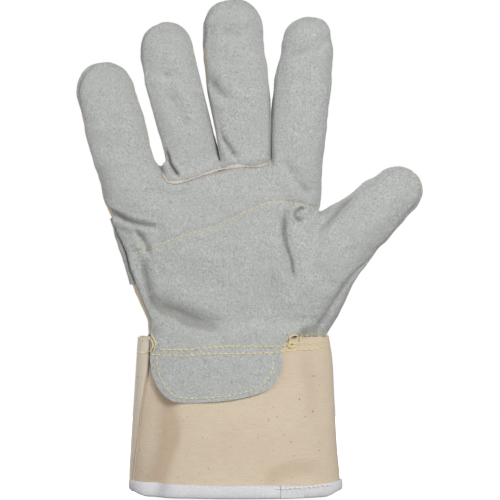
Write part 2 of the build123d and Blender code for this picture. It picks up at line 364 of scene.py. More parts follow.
# ------------ lines drawn on the glove
# Every line is a list of (x, z) points seen from the palm side.
FINGER_SEAM = [(-48.8, 183), (-47.2, 179), (-45.8, 175), (-42.3, 172.8), (-34.2, 173.9), (-19.6, 179),
               (-15.2, 180.3), (-4.9, 181.8), (2.4, 181.6), (6.8, 182.2), (10.5, 184.2), (12, 188)]
THUMB_SEAM = [(38.5, 160), (31, 156), (25.5, 156.2), (20.5, 154.5), (18.8, 149), (19.4, 140.8), (21.6, 131),
              (24.6, 120), (30, 108), (37, 99), (46, 90)]
THUMB_BACK_SEAM = [(38.5, 160), (31, 146), (28.5, 130), (28, 112), (28, 90)]
TONGUE = [(-51.8, 96), (-51.8, 77), (-50.2, 67.5), (-45, 58.2), (-37, 54.3), (-18, 54.7), (-4, 56.7),
          (8.5, 60.5), (14.8, 67), (17.0, 75), (16.4, 82), (18.5, 86.5), (23.5, 90.5), (24, 96)]
PALM_LINE = [(-62.5, 134.3), (-51.7, 138.4), (-35.8, 144), (-19.4, 149), (-5.2, 155.5), (8.5, 161.5),
             (14, 162.4), (22, 162.2), (29.5, 160.8), (36, 158.6)]
THUMB_TIP_SEAM = [(79.5, 183.2), (84.5, 181), (88.4, 177.4), (91.4, 173.4), (92.4, 169.4), (91.6, 165.6)]


def smooth_path(points, step=1.0):
    """A smooth curve through the points, sampled about every step millimetres."""
    points = np.array(points, float)
    before = np.vstack([2 * points[0] - points[1], points, 2 * points[-1] - points[-2]])
    samples = []
    for i in range(1, len(before) - 2):
        p0, p1, p2, p3 = before[i - 1:i + 3]
        count = max(2, int(np.linalg.norm(p2 - p1) / step))
        t = np.linspace(0, 1, count, endpoint=False)[:, None]
        samples.append(0.5 * (2 * p1 + (p2 - p0) * t + (2 * p0 - 5 * p1 + 4 * p2 - p3) * t ** 2
                              + (3 * p1 - p0 - 3 * p2 + p3) * t ** 3))
    return np.vstack(samples + [points[-1:]])


def from_path(path, x, z):
    """Signed distance of each (x, z) from an open path (positive to its left), and the share along it."""
    a, b = path[:-1], path[1:]
    run = b - a
    length = np.linalg.norm(run, axis=1)
    start = np.concatenate([[0], np.cumsum(length)[:-1]])
    best = np.full(len(x), 1e9)
    signed, share = np.zeros(len(x)), np.zeros(len(x))
    for i in range(len(run)):
        px, pz = x - a[i, 0], z - a[i, 1]
        t = np.clip((px * run[i, 0] + pz * run[i, 1]) / length[i] ** 2, 0, 1)
        dx, dz = px - t * run[i, 0], pz - t * run[i, 1]
        distance = np.hypot(dx, dz)
        nearer = distance < best
        best = np.where(nearer, distance, best)
        side = np.sign(run[i, 0] * pz - run[i, 1] * px)
        signed = np.where(nearer, side * distance, signed)
        share = np.where(nearer, (start[i] + t * length[i]) / length.sum(), share)
    return signed, share


def from_line(line, x, z):
    """As from_path, for one of the lists of points above."""
    return from_path(smooth_path(line), x, z)


def inside_path(path, x, z):
    """Signed distance from a closed outline, positive inside."""
    closed = np.vstack([path, path[:1]])
    signed, _ = from_path(closed, x, z)
    inside = np.zeros(len(x), bool)
    for (x0, z0), (x1, z1) in zip(closed[:-1], closed[1:]):
        crosses = (z0 > z) != (z1 > z)
        with np.errstate(divide="ignore", invalid="ignore"):
            at = x0 + (z - z0) * (x1 - x0) / (z1 - z0)
        inside ^= crosses & (x < at)
    return np.where(inside, 1, -1) * np.abs(signed)


# ------------ creases, puckers and seam grooves
# palm side: path, depth of the crease (less than 0 is a ridge), its half width, height of the roll on its
# left and on its right
PALM_FOLDS = [
    ([(33, 157.6), (28, 158.2), (25.4, 155.8), (25.8, 153.2), (31, 151)], 2.6, 1.05, 0.9, 0.1),
    ([(21.4, 162), (18.8, 152), (19.2, 141), (22.0, 131), (24.8, 114)], 3.2, 1.4, -1.0, 0.7),
    ([(16, 166), (12.6, 151), (13, 140), (15.4, 130), (18, 110)], -1.5, 5.0, 0.0, 0.0),
    ([(63.3, 174), (55, 166), (46.8, 158), (41.3, 151), (33.7, 141.5)], 1.8, 2.6, 0.9, 0.6),
    ([(55, 119), (50, 114)], 0.8, 1.3, 0.2, 0.2),
    ([(-86, 162.5), (-76, 157), (-68, 152.9), (-61, 150.6), (-54, 149.4), (-45, 147)], 2.8, 1.5, 0.7, 1.2),
    ([(-64, 149), (-58.6, 142.6), (-55.6, 137), (-53, 130)], 1.7, 1.8, 0.6, 0.5),
    ([(-60, 138), (-58, 124), (-55.5, 112), (-54, 100)], 2.2, 3.2, 0.4, 0.8),
    ([(-60, 108), (-46, 104.6), (-34, 99.8), (-20, 95.4), (-8, 94)], 2.9, 4.6, 0.9, 0.4),
    ([(-42, 132), (-28, 121), (-8, 119)], 1.0, 6.5, 0.5, 0.3),
    ([(-18, 202), (-13.5, 194.5), (-9.6, 189), (-6, 183)], 1.9, 1.7, 0.3, 0.7),
    ([(-26, 232), (-17, 223), (-9, 215)], 1.7, 3.2, 0.4, 0.8),
    ([(-30, 250), (-16, 256), (2, 250)], 1.3, 4.0, 0.3, 0.5),
    ([(12, 239), (30, 245), (52, 256)], 1.5, 4.0, 0.3, 0.6),
    ([(-46, 228), (-38, 212), (-29, 196)], 1.4, 3.6, 0.4, 0.6),
    ([(-62, 236), (-46, 232), (-34, 228)], 1.1, 3.8, 0.3, 0.4),
    ([(-86, 195), (-76, 192), (-64, 191)], 1.1, 4.5, 0.3, 0.5),
    ([(-52, 245), (-46, 236), (-44, 224)], 0.8, 4.0, 0.3, 0.4),
    ([(16.3, 186), (26.1, 174), (36.1, 166)], 1.6, 3.0, 0.5, 0.8),
    ([(9.6, 176), (18.0, 168), (27, 161)], 1.0, 3.6, 0.3, 0.4),
    ([(-46.4, 193), (-44.0, 184.6), (-41.6, 180.6), (-36.5, 174.5)], 3.4, 1.1, 0.3, 0.9),
    ([(37, 246.5), (38.5, 243)], 0.9, 2.2, 0.1, 0.3),
    ([(0, 126), (10, 108), (12, 98)], 1.0, 7.0, 0.3, 0.3),
    ([(-62, 172), (-50, 165), (-38, 166)], 0.9, 4.5, 0.3, 0.4),
    ([(66, 160), (60, 151), (62, 143)], 0.7, 2.6, 0.3, 0.2),
    ([(30, 128), (40, 122), (46, 112)], 0.8, 4.0, 0.3, 0.3),
]
BACK_FOLDS = [
    ([(-70, 168), (-48, 172), (-20, 170), (20, 174)], 0.9, 4.0, 0.4, 0.3),
    ([(-58, 112), (-30, 109), (10, 111)], 1.0, 3.2, 0.5, 0.4),
    ([(58, 150), (44, 134), (40, 118)], 1.2, 3.0, 0.4, 0.5),
    ([(-66, 128), (-40, 134), (-20, 131)], 0.7, 5.0, 0.2, 0.3),
]


def bell(distance, width):
    """1 at no distance, falling off to each side over about width."""
    return np.exp(-(distance / width) ** 2)


def crease(path, depth, width, roll_left, roll_right, x, z):
    """Height of one crease: a groove that fades out at its ends, with a soft roll on each side."""
    signed, share = from_line(path, x, z)
    fade = ease(0, 0.3, share) * ease(1, 0.7, share)
    end = np.exp(-np.clip(np.abs(signed) - 4 * width, 0, None))
    roll_place, roll_width = 2.0 * width, 1.3 * width
    roll = (roll_left * bell(signed - roll_place, roll_width)
            + roll_right * bell(signed + roll_place, roll_width))
    return (-depth * bell(signed, width) + roll) * fade * end


WAVES = 14                      # added up in each set of swells


def noise_waves(points, scale, seed):
    """Soft random swells of about the given length."""
    rng = np.random.default_rng(seed)
    total = np.zeros(len(points))
    for _ in range(WAVES):
        direction = rng.normal(size=3)
        direction /= np.linalg.norm(direction)
        length = scale * rng.uniform(0.7, 1.6)
        total += np.sin(points @ direction * (2 * math.pi / length) + rng.uniform(0, 6.3))
    return total / math.sqrt(WAVES)


# y of the seam below the thumb, by height: it swings round towards the viewer on its way to the cuff
THUMB_UNDER_SEAM = [(84, -9.0), (96, -11.0), (106, -11.6), (118, -10.8), (127, -8.0), (133, -4.5), (138, 0.0),
                    (150, 1.0)]


def seam_depth(points):
    """The y of the seam between the palm side and the back, where it passes near each point."""
    x, z = points[:, 0], points[:, 2]
    left = -1.2 - 3.4 * ease(152, 134, z) * ease(90, 100, z)
    right = through(THUMB_UNDER_SEAM, 1, z)
    depth = left + (right - left) * ease(-30, 20, x)
    owner = digit_owner(points)
    for index, (name, digit) in enumerate(DIGITS.items()):
        u, _, s = digit.local(points)
        (left_low, left_tip), (right_low, right_tip) = SIDE_SEAMS[name]
        along = ease(18, digit.tip - 6, s)
        left = left_low + (left_tip - left_low) * along
        right = right_low + (right_tip - right_low) * along
        own = left + (right - left) * ease(-8, 8, u)
        start = -6 if name == "thumb" else 2
        share = ease(start, start + 16, s) * (owner == index)
        depth = depth + (own - depth) * share
    return depth


def tongue_lift(x, z):
    """How far the palm leather is lifted where it runs out over the canvas cuff."""
    lift = INSET + LEATHER + 0.4
    slack = ease(90.5, 96, z)
    left = ease(-54.8 - 3 * slack, -52.6, x)
    right_edge = 17.0 + 7.5 * ease(84, 91, z)
    right = ease(right_edge + 2.4 + 9 * slack, right_edge, x)
    return lift * ease(99, 89.5, z) * left * right


WRIST_GATHER = 103.0            # height of the wrist's gathers, where the elastic draws the back in


def shape_skin(place):
    """Heights that push the grown skin in and out, and how much painted shade each place takes in creases,
    seams and gaps.

    In order: creases, the seam round the edge, the seam below the fingers, the sewn line across the palm,
    the thumb's seam on the back, the wrist's gathers, soft swells, flat walls between the closed fingers.
    """
    x, y, z = place.T
    behind = y - seam_depth(place)
    front = ease(1.5, -3.0, behind)
    back = 1 - front
    height = np.zeros(len(place))
    for side, folds in ((front, PALM_FOLDS), (back, BACK_FOLDS)):
        for fold in folds:
            height += side * crease(*fold, x, z)
    above_cuff = ease(88, 96, z)
    height += -0.95 * bell(behind, 1.0) * above_cuff
    height += 0.35 * bell(np.abs(behind) - 2.8, 1.5) * above_cuff
    to_seam, _ = from_line(FINGER_SEAM, x, z)
    height += front * (-1.0 * bell(to_seam, 1.3) + 0.6 * bell(np.abs(to_seam) - 3.4, 2.0))
    to_line, share = from_line(PALM_LINE, x, z)
    pucker = 1 + 0.5 * np.sin(share * 2 * math.pi * 17)
    height += front * (-0.55 * bell(to_line, 1.3) + 0.22 * pucker * bell(np.abs(to_line) - 2.6, 1.6))
    thumb_line, _ = from_line(THUMB_BACK_SEAM, x, z)
    height += back * -0.8 * bell(thumb_line, 1.2)
    gathers = np.sin(x * 1.15 + 0.6 * np.sin(z * 0.3)) * bell(z - WRIST_GATHER, 9)
    drawn_in = 0.55 * gathers - 1.6 * bell(z - (WRIST_GATHER + 0.5), 6)
    height += back * drawn_in * ease(0, 4, behind) * ease(40, 26, x)
    height += (0.36 * noise_waves(place, 26, 3) + 0.18 * noise_waves(place, 9, 5)) * ease(84, 100, z)
    shaded = np.zeros(len(place))
    for pair, (_, _, cut_half, closed_half) in GAPS.items():
        if cut_half > closed_half:
            side, above = in_gap(pair, place)
            aside = np.abs(side)
            height *= 1 - ease(2.6, 1.2, aside) * ease(-2.5, 0, above)
            shaded = np.maximum(shaded, bell(aside, 1.7) * ease(-1, 2, above) * ease(44, 30, above))
    # painted shade: darker along the seams, beside the closed gaps between the fingers and in deep creases,
    # where shade falls
    sharp = bell(behind, 0.9) + bell(to_seam, 1.0) * front + 1.6 * shaded
    # painted shade: a dark patch above the cuff's upper edge, right of the tongue
    wrist_shade = 0.9 * ease(98, 92.5, z) * ease(24, 31, x) * front
    painted_shade = np.clip(0.6 * sharp + np.clip(-height - 0.9, 0, 1) * 0.8 + wrist_shade, 0, 1)
    faces_out = 1 - ease(85, 93, z) * ease(-11, -6, y)
    return height + front * tongue_lift(x, z) * faces_out, painted_shade


# ------------ cutting the skin along lines
SNAP = 0.05                     # a corner nearer than this to a line counts as on it


def split(skin, tris, field, active):
    """Cuts the triangles that a line crosses, where field changes sign, without moving anything.

    Each row of skin is one vertex: its place when grown, its final place, how much painted shade it takes.
    """
    field = np.where(np.abs(field) < SNAP, 0, field)
    sign = np.sign(field)[tris]
    crossed = active[tris].all(1) & (sign.min(1) < 0) & (sign.max(1) > 0)
    rest, work, sign = tris[~crossed], tris[crossed], sign[crossed]
    has_zero = (sign == 0).any(1)
    odd_one = ((sign * sign.sum(1, keepdims=True)) < 0).argmax(1)
    lone = np.where(has_zero, (sign == 0).argmax(1), odd_one)
    p, q, r = (np.take_along_axis(work, ((lone + k) % 3)[:, None], 1)[:, 0] for k in range(3))
    first = np.where(has_zero, q, p)
    second = np.where(has_zero, r, q)
    ends = np.concatenate([np.stack([first, second], 1), np.stack([p, r], 1)[~has_zero]])
    keys, inverse = np.unique(np.sort(ends, axis=1), axis=0, return_inverse=True)
    inverse = inverse.ravel()
    t = (field[keys[:, 0]] / (field[keys[:, 0]] - field[keys[:, 1]]))[:, None]
    cut_at = skin[keys[:, 0]] * (1 - t) + skin[keys[:, 1]] * t
    m1 = len(skin) + inverse[:len(work)]
    m2 = len(skin) + inverse[len(work):]
    by_corner, plain = has_zero, ~has_zero
    new = [
        np.stack([p[by_corner], q[by_corner], m1[by_corner]], 1),
        np.stack([p[by_corner], m1[by_corner], r[by_corner]], 1),
        np.stack([p[plain], m1[plain], m2], 1),
        np.stack([m1[plain], q[plain], r[plain]], 1),
        np.stack([m1[plain], r[plain], m2], 1),
    ]
    return np.vstack([skin, cut_at]), np.concatenate([rest] + new)


def tongue_outline():
    """The tongue's outline: smooth, with straight ends that run up under the palm."""
    path = smooth_path(TONGUE[1:-1])
    return np.vstack([[TONGUE[0]], path, [TONGUE[-1]]])


CAP_LENGTH = 25.0
CAPPED = ("little", "ring", "middle")
INDEX_BACK_EDGE = 11.7          # x where the canvas back ends beside the index finger's leather back
INDEX_BACK_TOP = 187.0          # height up to which that edge is cut
THUMB_TOP = 162.0               # height below which leather beside the thumb's seams is the thumb's
SLIT_TOP = 90.3                 # the palm leather is slit up to here beside the tongue
TONGUE_CUT_TOP = 92.0           # height up to which the tongue's edge is cut
SLITS = ((-55, -48), (14, 27.5))    # x from and to, of the slits at the tongue's left and right
TONGUE_FRONT = -3.0             # y: the tongue lies in front of this


def behind_seam(points):
    """How far points lie behind the seam between the palm side and the back."""
    return points[:, 1] - seam_depth(points)


def digit_cut(index, digit, s_cut, back_only=False):
    def line(points):
        _, _, s = digit.local(points)
        where = digit_owner(points) == index
        if back_only:
            where &= behind_seam(points) > -1
        return s - s_cut, where
    return line


def path_cut(path, front):
    curve = smooth_path(path)

    def line(points):
        distance, _ = from_path(curve, points[:, 0], points[:, 2])
        side = behind_seam(points)
        near = (side < 1.5) if front else (side > -1.5)
        return distance, near & (np.abs(distance) < 5)
    return line


def height_cut(z_cut, back_only):
    def line(points):
        where = behind_seam(points) > -1 if back_only else np.ones(len(points), bool)
        return points[:, 2] - z_cut, where
    return line


def index_back_cut(points):
    x, _, z = points.T
    return x - INDEX_BACK_EDGE, (behind_seam(points) > -1) & (z > STRAP_HIGH - 4) & (z < INDEX_BACK_TOP)


def tongue_cut(points):
    x, y, z = points.T
    return inside_path(tongue_outline(), x, z), (y < TONGUE_FRONT) & (z < TONGUE_CUT_TOP)


def seam_cut(points):
    return behind_seam(points), np.ones(len(points), bool)


def cut_lines():
    """Every line that the skin is cut along: each gives a field that is 0 on the line, and where it holds."""
    lines = [seam_cut]
    for index, (name, digit) in enumerate(DIGITS.items()):
        lines.append(digit_cut(index, digit, digit.knuckle_zone[0]))
        lines.append(digit_cut(index, digit, digit.cut))
        if name in CAPPED:
            lines.append(digit_cut(index, digit, digit.tip - CAP_LENGTH, back_only=True))
    return lines + [
        path_cut(FINGER_SEAM, front=True),
        path_cut(THUMB_SEAM, front=True),
        path_cut(THUMB_BACK_SEAM, front=False),
        index_back_cut,
        height_cut(STRAP_HIGH, back_only=True),
        height_cut(STRAP_LOW, back_only=True),
        tongue_cut,
        height_cut(TUCK, back_only=False),
    ]


def label_skin(points, tris):
    """The name of the piece that each triangle belongs to."""
    middle = points[tris].mean(1)
    x, y, z = middle.T
    back = behind_seam(middle) > 0
    owner = digit_owner(middle)
    names = np.full(len(tris), "palm_leather", dtype="<U32")
    seam, _ = from_line(FINGER_SEAM, x, z)
    thumb, _ = from_line(THUMB_SEAM, x, z)
    thumb_back, _ = from_line(THUMB_BACK_SEAM, x, z)
    above_seam = ~back & (seam > 0) & (x > -49.5) & (x < 12.5) & (z > 170)
    names[above_seam & (owner <= 1)] = "ring_front_root"
    names[above_seam & (owner >= 2)] = "middle_front_root"
    beside_thumb = z < THUMB_TOP
    names[~back & (thumb > 0) & beside_thumb] = "thumb_front_root"
    names[back] = "hand_back_canvas"
    names[back & (x > INDEX_BACK_EDGE) & (z > STRAP_HIGH)] = "index_back_root"
    names[back & (thumb_back > 0) & beside_thumb] = "thumb_back_root"
    in_tongue = inside_path(tongue_outline(), x, z) > 0
    names[(z < TUCK) & ~(in_tongue & (y < TONGUE_FRONT))] = "waste"
    for slit_left, slit_right in SLITS:
        in_slit = (x > slit_left) & (x < slit_right) & (z < SLIT_TOP) & (y < TONGUE_FRONT)
        names[in_slit & ~in_tongue] = "waste"
    for index, (name, digit) in enumerate(DIGITS.items()):
        _, _, s = digit.local(middle)
        mine = owner == index
        for side, half in ((~back, "front"), (back, "back")):
            names[mine & side & (s > digit.knuckle_zone[0])] = f"{name}_lower_{half}"
            names[mine & side & (s > digit.cut)] = f"{name}_upper_{half}"
        if name in CAPPED:
            names[mine & back & (s > digit.tip - CAP_LENGTH)] = f"{name}_fingertip"
    return names


# ------------ pieces
SURFACES = []                   # (vertices, triangles) that stitches are laid on


def boundary_edges(tris):
    """Directed edges that only one triangle has."""
    edges = edges_of(tris)
    size = tris.max() + 1
    key, back_key = edges[:, 0] * size + edges[:, 1], edges[:, 1] * size + edges[:, 0]
    return edges[~np.isin(key, back_key)]


def compact(tris):
    """The vertices that triangles use, and the triangles numbered among those."""
    used, tris = np.unique(tris, return_inverse=True)
    return used, tris.reshape(-1, 3)


def put_in_scene(name, data, place=(0, 0, 0)):
    obj = bpy.data.objects.new(name, data)
    bpy.context.scene.collection.objects.link(obj)
    obj.location = place
    return obj


def add_mesh(name, verts, faces, material, rest=None, painted_shade=None, corner_normals=None):
    """A mesh object from arrays in millimetres; rest is each vertex's place on the uncreased cloth, and the
    second layer how much painted shade each vertex takes.
    """
    mesh = bpy.data.meshes.new(name)
    mesh.from_pydata((np.asarray(verts) * MM).tolist(), [], np.asarray(faces).tolist())
    mesh.materials.append(material)
    rest = verts if rest is None else rest
    layer = mesh.attributes.new("rest", "FLOAT_VECTOR", "POINT")
    layer.data.foreach_set("vector", np.asarray(rest, np.float32).ravel())
    painted_shade = np.zeros(len(verts)) if painted_shade is None else painted_shade
    layer = mesh.attributes.new("painted_shade", "FLOAT", "POINT")
    layer.data.foreach_set("value", np.asarray(painted_shade, np.float32))
    mesh.shade_smooth()
    if corner_normals is not None:
        mesh.normals_split_custom_set(corner_normals.tolist())
    return put_in_scene(name, mesh)


def shell(name, verts, tris, normals, material, rest, painted_shade, inner, outer=0.0):
    """A closed sheet of material: an outer face over the given surface, an inner one below it, and walls."""
    count = len(verts)
    walls = boundary_edges(tris)
    a, b = walls[:, 0], walls[:, 1]
    faces = np.concatenate([
        tris,
        tris[:, ::-1] + count,
        np.stack([b, a, a + count], 1),
        np.stack([b, a + count, b + count], 1),
    ])
    both = np.vstack([verts + normals * outer, verts - normals * inner])
    face_corners = both[faces]
    flat = np.cross(face_corners[:, 1] - face_corners[:, 0], face_corners[:, 2] - face_corners[:, 0])
    flat /= np.maximum(np.linalg.norm(flat, axis=1, keepdims=True), 1e-9)
    corner = np.repeat(flat[:, None, :], 3, axis=1)
    corner[:len(tris)] = normals[tris]
    corner[len(tris):2 * len(tris)] = -normals[tris[:, ::-1]]
    rest, painted_shade = (np.concatenate([values, values]) for values in (rest, painted_shade))
    return add_mesh(name, both, faces, material, rest, painted_shade, corner.reshape(-1, 3))


def tube(points, normals, radius, flatten, sides, taper):
    """A closed tube through points: flatten is its rise along the normals, taper its radius at each point."""
    points = np.asarray(points, float)
    run = np.gradient(points, axis=0)
    run /= np.maximum(np.linalg.norm(run, axis=1, keepdims=True), 1e-9)
    across = np.cross(run, normals)
    across /= np.maximum(np.linalg.norm(across, axis=1, keepdims=True), 1e-9)
    rise = np.cross(across, run)
    angle = np.arange(sides) * 2 * math.pi / sides
    radius = radius * np.asarray(taper)
    section = (across[:, None] * np.cos(angle)[None, :, None]
               + flatten * rise[:, None] * np.sin(angle)[None, :, None])
    verts = (points[:, None] + radius[:, None, None] * section).reshape(-1, 3)
    last = (len(points) - 1) * sides
    first_cap = [(0, k + 1, k) for k in range(1, sides - 1)]
    last_cap = [(last, last + k, last + k + 1) for k in range(1, sides - 1)]
    return verts, np.concatenate([grid_triangles(len(points) - 1, sides, True), first_cap, last_cap])


def join(parts):
    """Several (vertices, triangles) as one."""
    verts, faces, base = [], [], 0
    for part_verts, part_faces in parts:
        verts.append(part_verts)
        faces.append(part_faces + base)
        base += len(part_verts)
    return np.vstack(verts), np.concatenate(faces)


def finish_piece(obj, body, slot, *nodes):
    """Hangs a piece on the empty of the body that it rides on, and hides the CAD nodes that it stands for;
    the slot, what it is made of, is not used.
    """
    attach(obj, body)
    if nodes:
        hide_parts(*nodes)


# ------------ the hand's pieces
class Skin:
    """The hand's skin, shaped, cut along its lines, and labelled with the pieces that it falls into."""

    def __init__(self):
        grown, tris = grow_hand()
        height, painted_shade = shape_skin(grown)
        shaped = relax(grown + normals_of(grown, tris) * height[:, None], tris, 1)
        skin = np.column_stack([grown, shaped, painted_shade])
        for line in cut_lines():
            field, active = line(skin[:, 0:3])
            skin, tris = split(skin, tris, field, active)
        names = label_skin(skin[:, 0:3], tris)
        self.tris, self.names = tris[names != "waste"], names[names != "waste"]
        self.grown, self.shaped, self.painted_shade = skin[:, 0:3], skin[:, 3:6], skin[:, 6]
        self.normals = normals_of(self.shaped, self.tris)
        self.middles = self.grown[self.tris].mean(1)
        SURFACES.append((self.shaped, self.tris))

    def sheet(self, name, chosen, material, inner, outer=0.0, shading=1.0):
        """A closed sheet of the chosen triangles; shading is how much of the painted shade in the hollows it
        takes.
        """
        used, own = compact(self.tris[chosen])
        return shell(name, self.shaped[used], own, self.normals[used], material, self.grown[used],
                     self.painted_shade[used] * shading, inner, outer)


ROOT_PIECES = {
    # piece: (slot, the CAD node that it stands for)
    "palm_leather": ("split_leather", "palm_panel"),
    "ring_front_root": ("split_leather", "ring_front_base"),
    "middle_front_root": ("split_leather", "middle_front_base"),
    "thumb_front_root": ("split_leather", "thumb_front_base"),
    "thumb_back_root": ("split_leather", "thumb_back_base"),
    "hand_back_canvas": ("canvas", "hand_back"),
    "index_back_root": ("split_leather", "index_back_base"),
}


def hand_pieces(materials):
    skin = Skin()
    for name, (slot, node) in ROOT_PIECES.items():
        obj = skin.sheet(name, skin.names == name, materials[slot], THICKNESS[slot])
        finish_piece(obj, "hand", slot, node)
    for digit in DIGITS.values():
        digit_pieces(skin, materials, digit)
    knuckle_strap(skin, materials)
    palm_lining(skin, materials)
    wrist_elastic(skin, materials)


def digit_pieces(skin, materials, digit):
    """One sheet for each panel of a digit, each lying across one of its hinges."""
    name, leather = digit.name, "split_leather"
    back = "canvas" if name in CAPPED else leather
    lower, upper = f"{name}_lower", f"{name}_upper"
    at_knuckle, at_middle = ("hand", lower, digit.knuckle_zone), (lower, upper, digit.middle_zone)
    panels = [
        # panel, slot, the hinge that it lies across, the CAD nodes that it stands for
        (f"{lower}_front", leather, at_knuckle, (f"{lower}_front", f"{name}_knuckle_flex")),
        (f"{lower}_back", back, at_knuckle, (f"{lower}_back",)),
        (f"{upper}_front", leather, at_middle, (f"{upper}_front", f"{name}_middle_flex")),
        (f"{upper}_back", back, at_middle, (f"{upper}_back",)),
    ]
    if name in CAPPED:
        panels.append((f"{name}_fingertip", leather, at_middle, (f"{name}_fingertip_cap",)))
    for panel, slot, (body_below, body, zone), nodes in panels:
        obj = skin.sheet(f"{panel}_skin", skin.names == panel, materials[slot], THICKNESS[slot])
        tuple(digit.point(zone[0]) * MM)
        tuple(digit.point(zone[1]) * MM)
        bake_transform(obj)
        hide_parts(*nodes)


STRAP_CLEARANCE = -0.1          # less than 0: the strap's inner face is this far out from the canvas
LINING_LOW, LINING_HIGH = 95.0, 172.0


def knuckle_strap(skin, materials):
    z = skin.middles[:, 2]
    chosen = (skin.names == "hand_back_canvas") & (z > STRAP_LOW) & (z < STRAP_HIGH)
    obj = skin.sheet("knuckle_strap_leather", chosen, materials["split_leather"], STRAP_CLEARANCE, LEATHER,
                     shading=0.5)
    finish_piece(obj, "hand", "split_leather", "knuckle_strap")
    used, own = compact(skin.tris[chosen])
    SURFACES.append((skin.shaped[used] + skin.normals[used] * LEATHER, own))


def palm_lining(skin, materials):
    z = skin.middles[:, 2]
    chosen = (skin.names == "palm_leather") & (z > LINING_LOW) & (z < LINING_HIGH)
    obj = skin.sheet("palm_lining_cloth", chosen, materials["cotton_lining"], LEATHER + 0.8, -LEATHER - 0.2,
                     shading=0.0)
    finish_piece(obj, "hand", "cotton_lining", "palm_lining")


def wrist_elastic(skin, materials):
    x, _, z = skin.middles.T
    centre, half = (ELASTIC_LOW[0] + ELASTIC_HIGH[0]) / 2, (ELASTIC_HIGH[0] - ELASTIC_LOW[0]) / 2
    in_height = (z > ELASTIC_LOW[2] - 1) & (z < ELASTIC_HIGH[2] + 1)
    chosen = (skin.names == "hand_back_canvas") & in_height & (np.abs(x - centre) < half + 1)
    obj = skin.sheet("wrist_elastic_band", chosen, materials["elastic"], CANVAS + 0.9, -CANVAS - 0.1,
                     shading=0.0)
    finish_piece(obj, "hand", "elastic", "wrist_elastic")


# ------------ the canvas cuff
CUFF_STEPS = 520                # columns of the cuff's grid, all the way round
TYPICAL_HALF_WIDTH = 55.0       # of the cuff, for spacing its columns and measuring its cloth
TYPICAL_HALF_DEPTH = 21.0
TYPICAL_TAPE = 9.0              # height of the hem tape, for measuring its cloth
TAPE_HEIGHT = 9.2               # of the tape's upper edge, where it is lowest
TAPE_OUT = 1.45                 # from the canvas's outer face to the tape's
MID_HEIGHT = 45.0               # where places across the cuff are measured
DEEPEST_DENT = 5.2              # depth at which a dent's painted shade would be full
MOST_DENT_SHADE = 0.75                # but no dent's painted shade goes past this
LAP_SQUARENESS = 5.0            # of the lap's section, where the rest of the cuff has SQUARENESS
FAR = 99.0                      # x beyond either side of the cuff
FRONT_X = -63.6                 # x on the front where the front's canvas starts, under the back's
WRAP_X = -55.4                  # x on the front where the back's canvas laps over the front's, at the top
LAP_SLANT = 17.0                # columns by which that lap narrows towards the hem
BACK_SEAM_X = 42.0              # x on the back where the front's canvas laps over the back's
HEM_GAP = 2.0                   # from the lowest point of the tape's fold up to the canvas
LINING_TOP = 81.0               # height of the cuff lining's upper edge
LINING_SINK = -1.25             # how far the lining lies inside the canvas's outer face

# like PALM_FOLDS, for the cuff's front and for its back
CUFF_DENTS = [
    ([(-52, 90), (-46, 56), (-45, 36), (-50, 14), (-56, -12)], 4.4, 5.6, 1.3, 0.3),
    ([(-50, 52), (-40, 26), (-36, 8), (-36, -6)], 1.3, 10.0, 0.0, 0.0),
    ([(-36, 60), (-38, 42), (-42, 26)], 1.4, 4.5, 0.3, 0.4),
    ([(4, 8), (16, 17), (26, 20), (44, 20)], 3.0, 5.0, 1.0, 0.4),
    ([(-16, 50), (-10, 30), (-13, 8)], 0.9, 8.0, 0.3, 0.4),
    ([(31, 92), (32.5, 66), (36, 34)], 1.7, 4.8, 0.7, 0.5),
    ([(-2, 52), (8, 50), (22, 52)], 0.7, 6.0, 0.3, 0.3),
]
CUFF_BACK_DENTS = [
    ([(-40, 84), (-36, 50), (-38, 18)], 1.0, 6.0, 0.5, 0.3),
    ([(4, 84), (-2, 52), (2, 16)], 1.1, 7.0, 0.4, 0.4),
    ([(32, 80), (30, 40)], 0.8, 5.0, 0.3, 0.3),
]


def cuff_round():
    """Unit section of the cuff: each column's share of the half width and half depth, and its way round."""
    angle = np.linspace(0, 2 * math.pi, 4001)
    across, depth = (np.sign(wave) * np.abs(wave) ** (2 / SQUARENESS)
                     for wave in (np.cos(angle), np.sin(angle)))
    steps = np.hypot(np.diff(across) * TYPICAL_HALF_WIDTH, np.diff(depth) * TYPICAL_HALF_DEPTH)
    length = np.concatenate([[0], np.cumsum(steps)])
    at = np.linspace(0, length[-1], CUFF_STEPS + 1)[:-1]
    return np.interp(at, length, across), np.interp(at, length, depth), at


ACROSS, DEPTH, ROUND = cuff_round()


def at_columns(values, columns):
    """Values held per column, read at any place between the columns."""
    return np.interp(np.mod(columns, CUFF_STEPS), np.arange(CUFF_STEPS + 1), np.append(values, values[0]))


def hem_rise(columns):
    """How far the hem is cut up from the lowest point of the cuff: most at the sides, none at the back."""
    depth, across = at_columns(DEPTH, columns), np.abs(at_columns(ACROSS, columns))
    return 3.3 * ease(0.75, -0.3, depth) + 2.4 * ease(0.86, 1.0, across) * ease(0.9, 0.0, depth)


